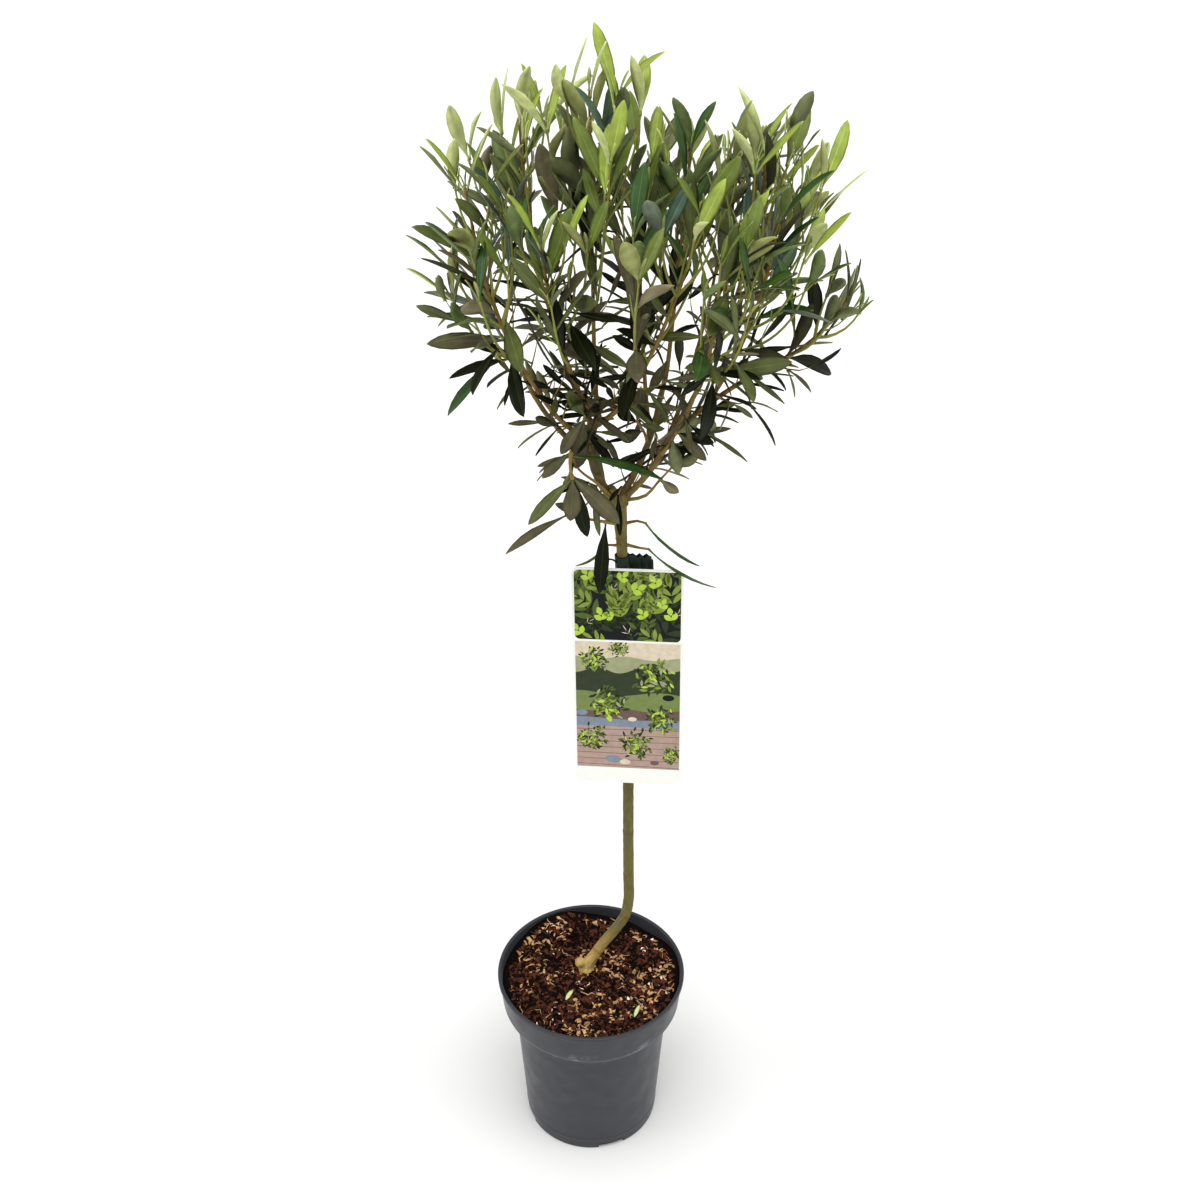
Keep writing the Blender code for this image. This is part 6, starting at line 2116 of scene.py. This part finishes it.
def make_strap(settings):
    """The strap: a loop round the stem with crumpled tails, and a thin tie."""
    middle = stem_at((BAND_TOP + BAND_BOTTOM) / 2)
    radius = strap_radius()
    aside = BAND_TAIL_APART / 2
    bend = asin(aside / radius)
    tails = [(radius + BAND_TAIL * share, shift, lift) for share, shift, lift in STRAP_FOLDS]
    line = [(x, -aside + shift, lift) for x, shift, lift in tails[::-1]]
    for k in range(STRAP_STEPS + 1):
        angle = -bend - (2 * pi - 2 * bend) * k / STRAP_STEPS
        line.append((radius * cos(angle), radius * sin(angle), 0.0))
    line += [(x - BAND_TAIL_STEP / 2, aside + shift, SECOND_TAIL_LIFT * lift) for x, shift, lift in tails]
    line = np.array(line)
    ways = np.gradient(line[:, :2], axis=0)
    normals = np.stack((-ways[:, 1], ways[:, 0]), axis=1)
    normals /= np.linalg.norm(normals, axis=1)[:, None]
    section = rounded([(s * BAND_THICKNESS / 2, z, STRAP_ROUNDING) for s, z in (
        (-1, BAND_BOTTOM), (1, BAND_BOTTOM), (1, STRAP_TOP), (-1, STRAP_TOP))], 3)
    points = []
    for (x, y, lift), normal in zip(line, normals):
        for out, z in section:
            high = (z - BAND_BOTTOM) / (STRAP_TOP - BAND_BOTTOM)
            z += lift * high
            axis = stem_at(z)
            points.append((x + normal[0] * out + axis[0], y + normal[1] * out + axis[1], z))
    count = len(section)
    last = (len(line) - 1) * count
    faces = [tuple(range(count)), tuple(range(last, last + count))[::-1]]
    for ring in range(len(line) - 1):
        for k in range(count):
            after = (k + 1) % count
            low = ring * count
            faces.append((low + k, low + count + k, low + count + after, low + after))
    tie = np.array([middle + (x, y, z - middle[2]) for x, y, z in TIE_LINE])
    tie = flowing_path(tie, np.linspace(0.0, run_lengths(tie)[-1], TIE_STEPS))
    points, faces = joined([(np.array(points), faces), tube(tie, np.full(TIE_STEPS, TIE_RADIUS), TIE_SIDES)])
    strap = new_piece("label_strap", points, faces, [strap_material(settings)])
    work = bmesh.new()
    work.from_mesh(strap.data)
    bmesh.ops.recalc_face_normals(work, faces=work.faces)
    work.to_mesh(strap.data)
    work.free()
    strap.data.set_sharp_from_angle(angle=radians(50.0))
    dress(strap, "band_plastic", "label_band")


# --------------------------------------------------------------------- stage

def make_stage(settings):
    """A pale floor, soft studio light and the camera."""
    material, _, shader = new_material("studio_floor", Roughness=0.9)
    shader.inputs["Base Color"].default_value = rgba(settings.floor)
    half = FLOOR_SIZE / 2
    corners = [(-half, -half, -GAP), (half, -half, -GAP), (half, half, -GAP), (-half, half, -GAP)]
    floor = new_piece("floor", corners, [(0, 1, 2, 3)], [material], smooth=False)
    scene = bpy.context.scene
    world = bpy.data.worlds.new("studio")
    world.use_nodes = True
    sky = world.node_tree.nodes["Background"]
    sky.inputs["Color"].default_value = (1.0, 1.0, 1.0, 1.0)
    sky.inputs["Strength"].default_value = settings.world
    scene.world = world
    for name, place, spread, strength in LAMPS:
        lamp = bpy.data.lights.new(name, "SUN")
        lamp.angle = radians(spread)
        lamp.energy = strength * settings.lamps
        made = bpy.data.objects.new(name, lamp)
        made.location = place
        made.rotation_euler = Vector(place).to_track_quat("Z", "Y").to_euler()
        scene.collection.objects.link(made)
    camera = bpy.data.cameras.new("camera")
    camera.lens = CAMERA_LENS
    camera.sensor_width = 36.0
    camera.clip_end = 50.0
    made = bpy.data.objects.new("camera", camera)
    made.location = CAMERA_PLACE
    made.rotation_euler = (radians(90.0 - CAMERA_PITCH), 0.0, 0.0)
    scene.collection.objects.link(made)
    scene.camera = made
    scene.view_settings.view_transform = "Standard"
    scene.view_settings.look = "Medium High Contrast"


# ------------------------------------------------------ settings for the user

def colour(name, code, what):
    """A colour setting that starts at an sRGB hex code."""
    return FloatVectorProperty(
        name=name, description=what, subtype="COLOR", size=3, min=0.0, max=1.0, default=linear(code))


def length(name, value, low, high, what):
    """A length setting in metres."""
    return FloatProperty(
        name=name, description=what, unit="LENGTH", precision=5, default=value, min=low, max=high)


class LeafSettings(PropertyGroup):
    """Tints of the leaves: upper side, underside and midrib of each."""

    __annotations__ = {
        f"{name}_{side}": colour(f"{name.capitalize()}, {side}", getattr(tint, side), tint.what)
        for name, tint in TINTS.items() for side in TINT_SIDES
    }


class BarkSettings(PropertyGroup):
    """Colours of the bark and twigs, and how fine the bark's skin is."""

    bark_tan: colour("Tan bark", "#9a8452", "Foot of the stem and the limbs")
    bark_olive: colour("Olive bark", "#6e673f", "Stem and boughs")
    bark_grey: colour("Grey bark", "#5d5b45", "Dull patches with a film of algae")
    bark_red: colour("Ring", "#6b4322", "Old leaf rings and brown patches")
    twig: colour("Twig", "#85733f", "Barked twigs")
    green_twig: colour("Green twig", "#87904a", "This year's twigs")
    voxel: length("Skin detail", 0.0006, 0.0004, 0.002, "Size of the faces of the bark's skin")
    relief: length("Relief", 0.00018, 0.0, 0.001, "Height of the bark's streaks and rings")


class PotSettings(PropertyGroup):
    """Colours of the pot's plastic and of the dust on it."""

    plastic: colour("Plastic", "#323338", "Grey polypropylene")
    scuff: colour("Scuffs", "#8b8d92", "Pale rubbed dust round the shoulder")
    dirt: colour("Dirt", "#15120f", "Specks of compost stuck to the foot")
    scuff_weight: FloatProperty(
        name="Scuffing", description="How strongly the rubbed dust shows", subtype="FACTOR",
        default=0.70, min=0.0, max=1.0)


class SoilSettings(PropertyGroup):
    """Colours of the compost and of what lies in it."""

    # Its near-black is partly the damp compost's own colour and partly painted shade in the gaps between the
    # strewn chips.
    soil: colour("Compost", "#0f0604", "Damp fine compost")
    dark_chip: colour("Dark chips", "#170906", "Composted bark")
    brown_chip: colour("Brown chips", "#4b2b1d", "Bark shavings")
    red_chip: colour("Red chips", "#6b3620", "Bark splinters and coir")
    tan_chip: colour("Tan chips", "#aa8862", "Pale wood and dry fibre")
    perlite: colour("Perlite", "#cfc8ba", "White grains")
    clipping: colour("Clippings", "#b9c98f", "Pale green bits of leaf")
    relief: length("Relief", 0.0016, 0.0, 0.004, "Height of the crumbs in the surface")


class LabelSettings(PropertyGroup):
    """Colours of the card, its print and its strap."""

    card: colour("Card", "#d9dad4", "White coated card")
    strap: colour("Strap", "#18261d", "Dark green strap")
    night: colour("Night", "#070c09", "Ground of the upper panel")
    pine: colour("Pine", "#2a3716", "Darkest sprigs")
    deep: colour("Deep green", "#4e5e27", "Dark sprigs")
    leaf: colour("Leaf green", "#7b8b3c", "Middling sprigs")
    lime: colour("Lime", "#a2bb46", "Brightest blades")
    mist: colour("Mist", "#c3b7a2", "Pale top of the lower field")
    sage: colour("Sage", "#919473", "Far band of the lower field")
    hedge: colour("Hedge", "#2e3923", "Dark band of the lower field")
    grass: colour("Grass", "#6d7b47", "Middle of the lower field")
    clay: colour("Clay", "#9e897e", "Foot of the lower field")
    umber: colour("Umber", "#65524c", "Brown band, and the lines between boards")
    dusk: colour("Dusk", "#747f8c", "Blue-grey band and pebbles")


class StageSettings(PropertyGroup):
    """The floor's colour and how bright the studio is."""

    floor: colour("Floor", "#d8d8d7", "Pale plain floor")
    world: FloatProperty(
        name="Surroundings", description="Brightness of the white surroundings",
        default=0.50, min=0.0, max=4.0)
    lamps: FloatProperty(
        name="Lamps", description="Brightness of all lamps together", default=1.0, min=0.0, max=10.0)


# ----------------------------------------------------------------- operators

class OLIVE_OT_pot(Operator):
    """Turn the pot and cut its drain slots"""

    bl_idname = "olive.pot"
    bl_label = "Make Pot"

    def execute(self, context):
        make_pot(context.scene.olive_pot)
        return {"FINISHED"}


class OLIVE_OT_soil(Operator):
    """Fill the pot with compost and strew chips, fibres and perlite on it"""

    bl_idname = "olive.soil"
    bl_label = "Make Soil"

    def execute(self, context):
        make_soil(context.scene.olive_soil)
        return {"FINISHED"}


class OLIVE_OT_bark(Operator):
    """Grow the stem, boughs and limbs in one skin of bark"""

    bl_idname = "olive.bark"
    bl_label = "Make Stem and Boughs"

    def execute(self, context):
        make_bark(context.scene.olive_bark, grown_crown())
        return {"FINISHED"}


class OLIVE_OT_twigs(Operator):
    """Grow the barked twigs and the green ones"""

    bl_idname = "olive.twigs"
    bl_label = "Make Twigs"

    def execute(self, context):
        make_twigs(context.scene.olive_bark, grown_crown())
        return {"FINISHED"}


class OLIVE_OT_leaves(Operator):
    """Grow the leaves, a piece for each tint"""

    bl_idname = "olive.leaves"
    bl_label = "Make Leaves"

    def execute(self, context):
        make_leaves(context.scene.olive_leaves, grown_crown())
        return {"FINISHED"}


class OLIVE_OT_label(Operator):
    """Print the card and hang it on its strap"""

    bl_idname = "olive.label"
    bl_label = "Make Label"

    def execute(self, context):
        make_label(context.scene.olive_label)
        return {"FINISHED"}


class OLIVE_OT_stage(Operator):
    """Set the floor, the studio light and the camera"""

    bl_idname = "olive.stage"
    bl_label = "Make Stage"

    def execute(self, context):
        make_stage(context.scene.olive_stage)
        return {"FINISHED"}


# Each group of settings, the name it has on the scene, and its operators.
SETTINGS = (
    ("olive_pot", PotSettings, (OLIVE_OT_pot,)),
    ("olive_soil", SoilSettings, (OLIVE_OT_soil,)),
    ("olive_bark", BarkSettings, (OLIVE_OT_bark, OLIVE_OT_twigs)),
    ("olive_leaves", LeafSettings, (OLIVE_OT_leaves,)),
    ("olive_label", LabelSettings, (OLIVE_OT_label,)),
    ("olive_stage", StageSettings, (OLIVE_OT_stage,)),
)


class OLIVE_PT_tree(Panel):
    """The tree's pieces, each with its colours and sizes"""

    bl_label = "Potted Olive Tree"
    bl_idname = "OLIVE_PT_tree"
    bl_space_type = "VIEW_3D"
    bl_region_type = "UI"
    bl_category = "Olive"

    def draw(self, context):
        for name, group, operators in SETTINGS:
            box = self.layout.box()
            for operator in operators:
                box.operator(operator.bl_idname)
            for setting in group.__annotations__:
                box.prop(getattr(context.scene, name), setting)


def register():
    for name, group, operators in SETTINGS:
        for made in (group, *operators):
            bpy.utils.register_class(made)
        setattr(bpy.types.Scene, name, PointerProperty(type=group))
    bpy.utils.register_class(OLIVE_PT_tree)


def unregister():
    bpy.utils.unregister_class(OLIVE_PT_tree)
    for name, group, operators in reversed(SETTINGS):
        delattr(bpy.types.Scene, name)
        for made in (*operators, group):
            bpy.utils.unregister_class(made)


def main():
    """Make every piece."""
    register()
    bpy.ops.olive.stage()
    bpy.ops.olive.pot()
    bpy.ops.olive.soil()
    bpy.ops.olive.bark()
    bpy.ops.olive.twigs()
    bpy.ops.olive.leaves()
    bpy.ops.olive.label()
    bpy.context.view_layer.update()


if __name__ == "__main__":
    main()
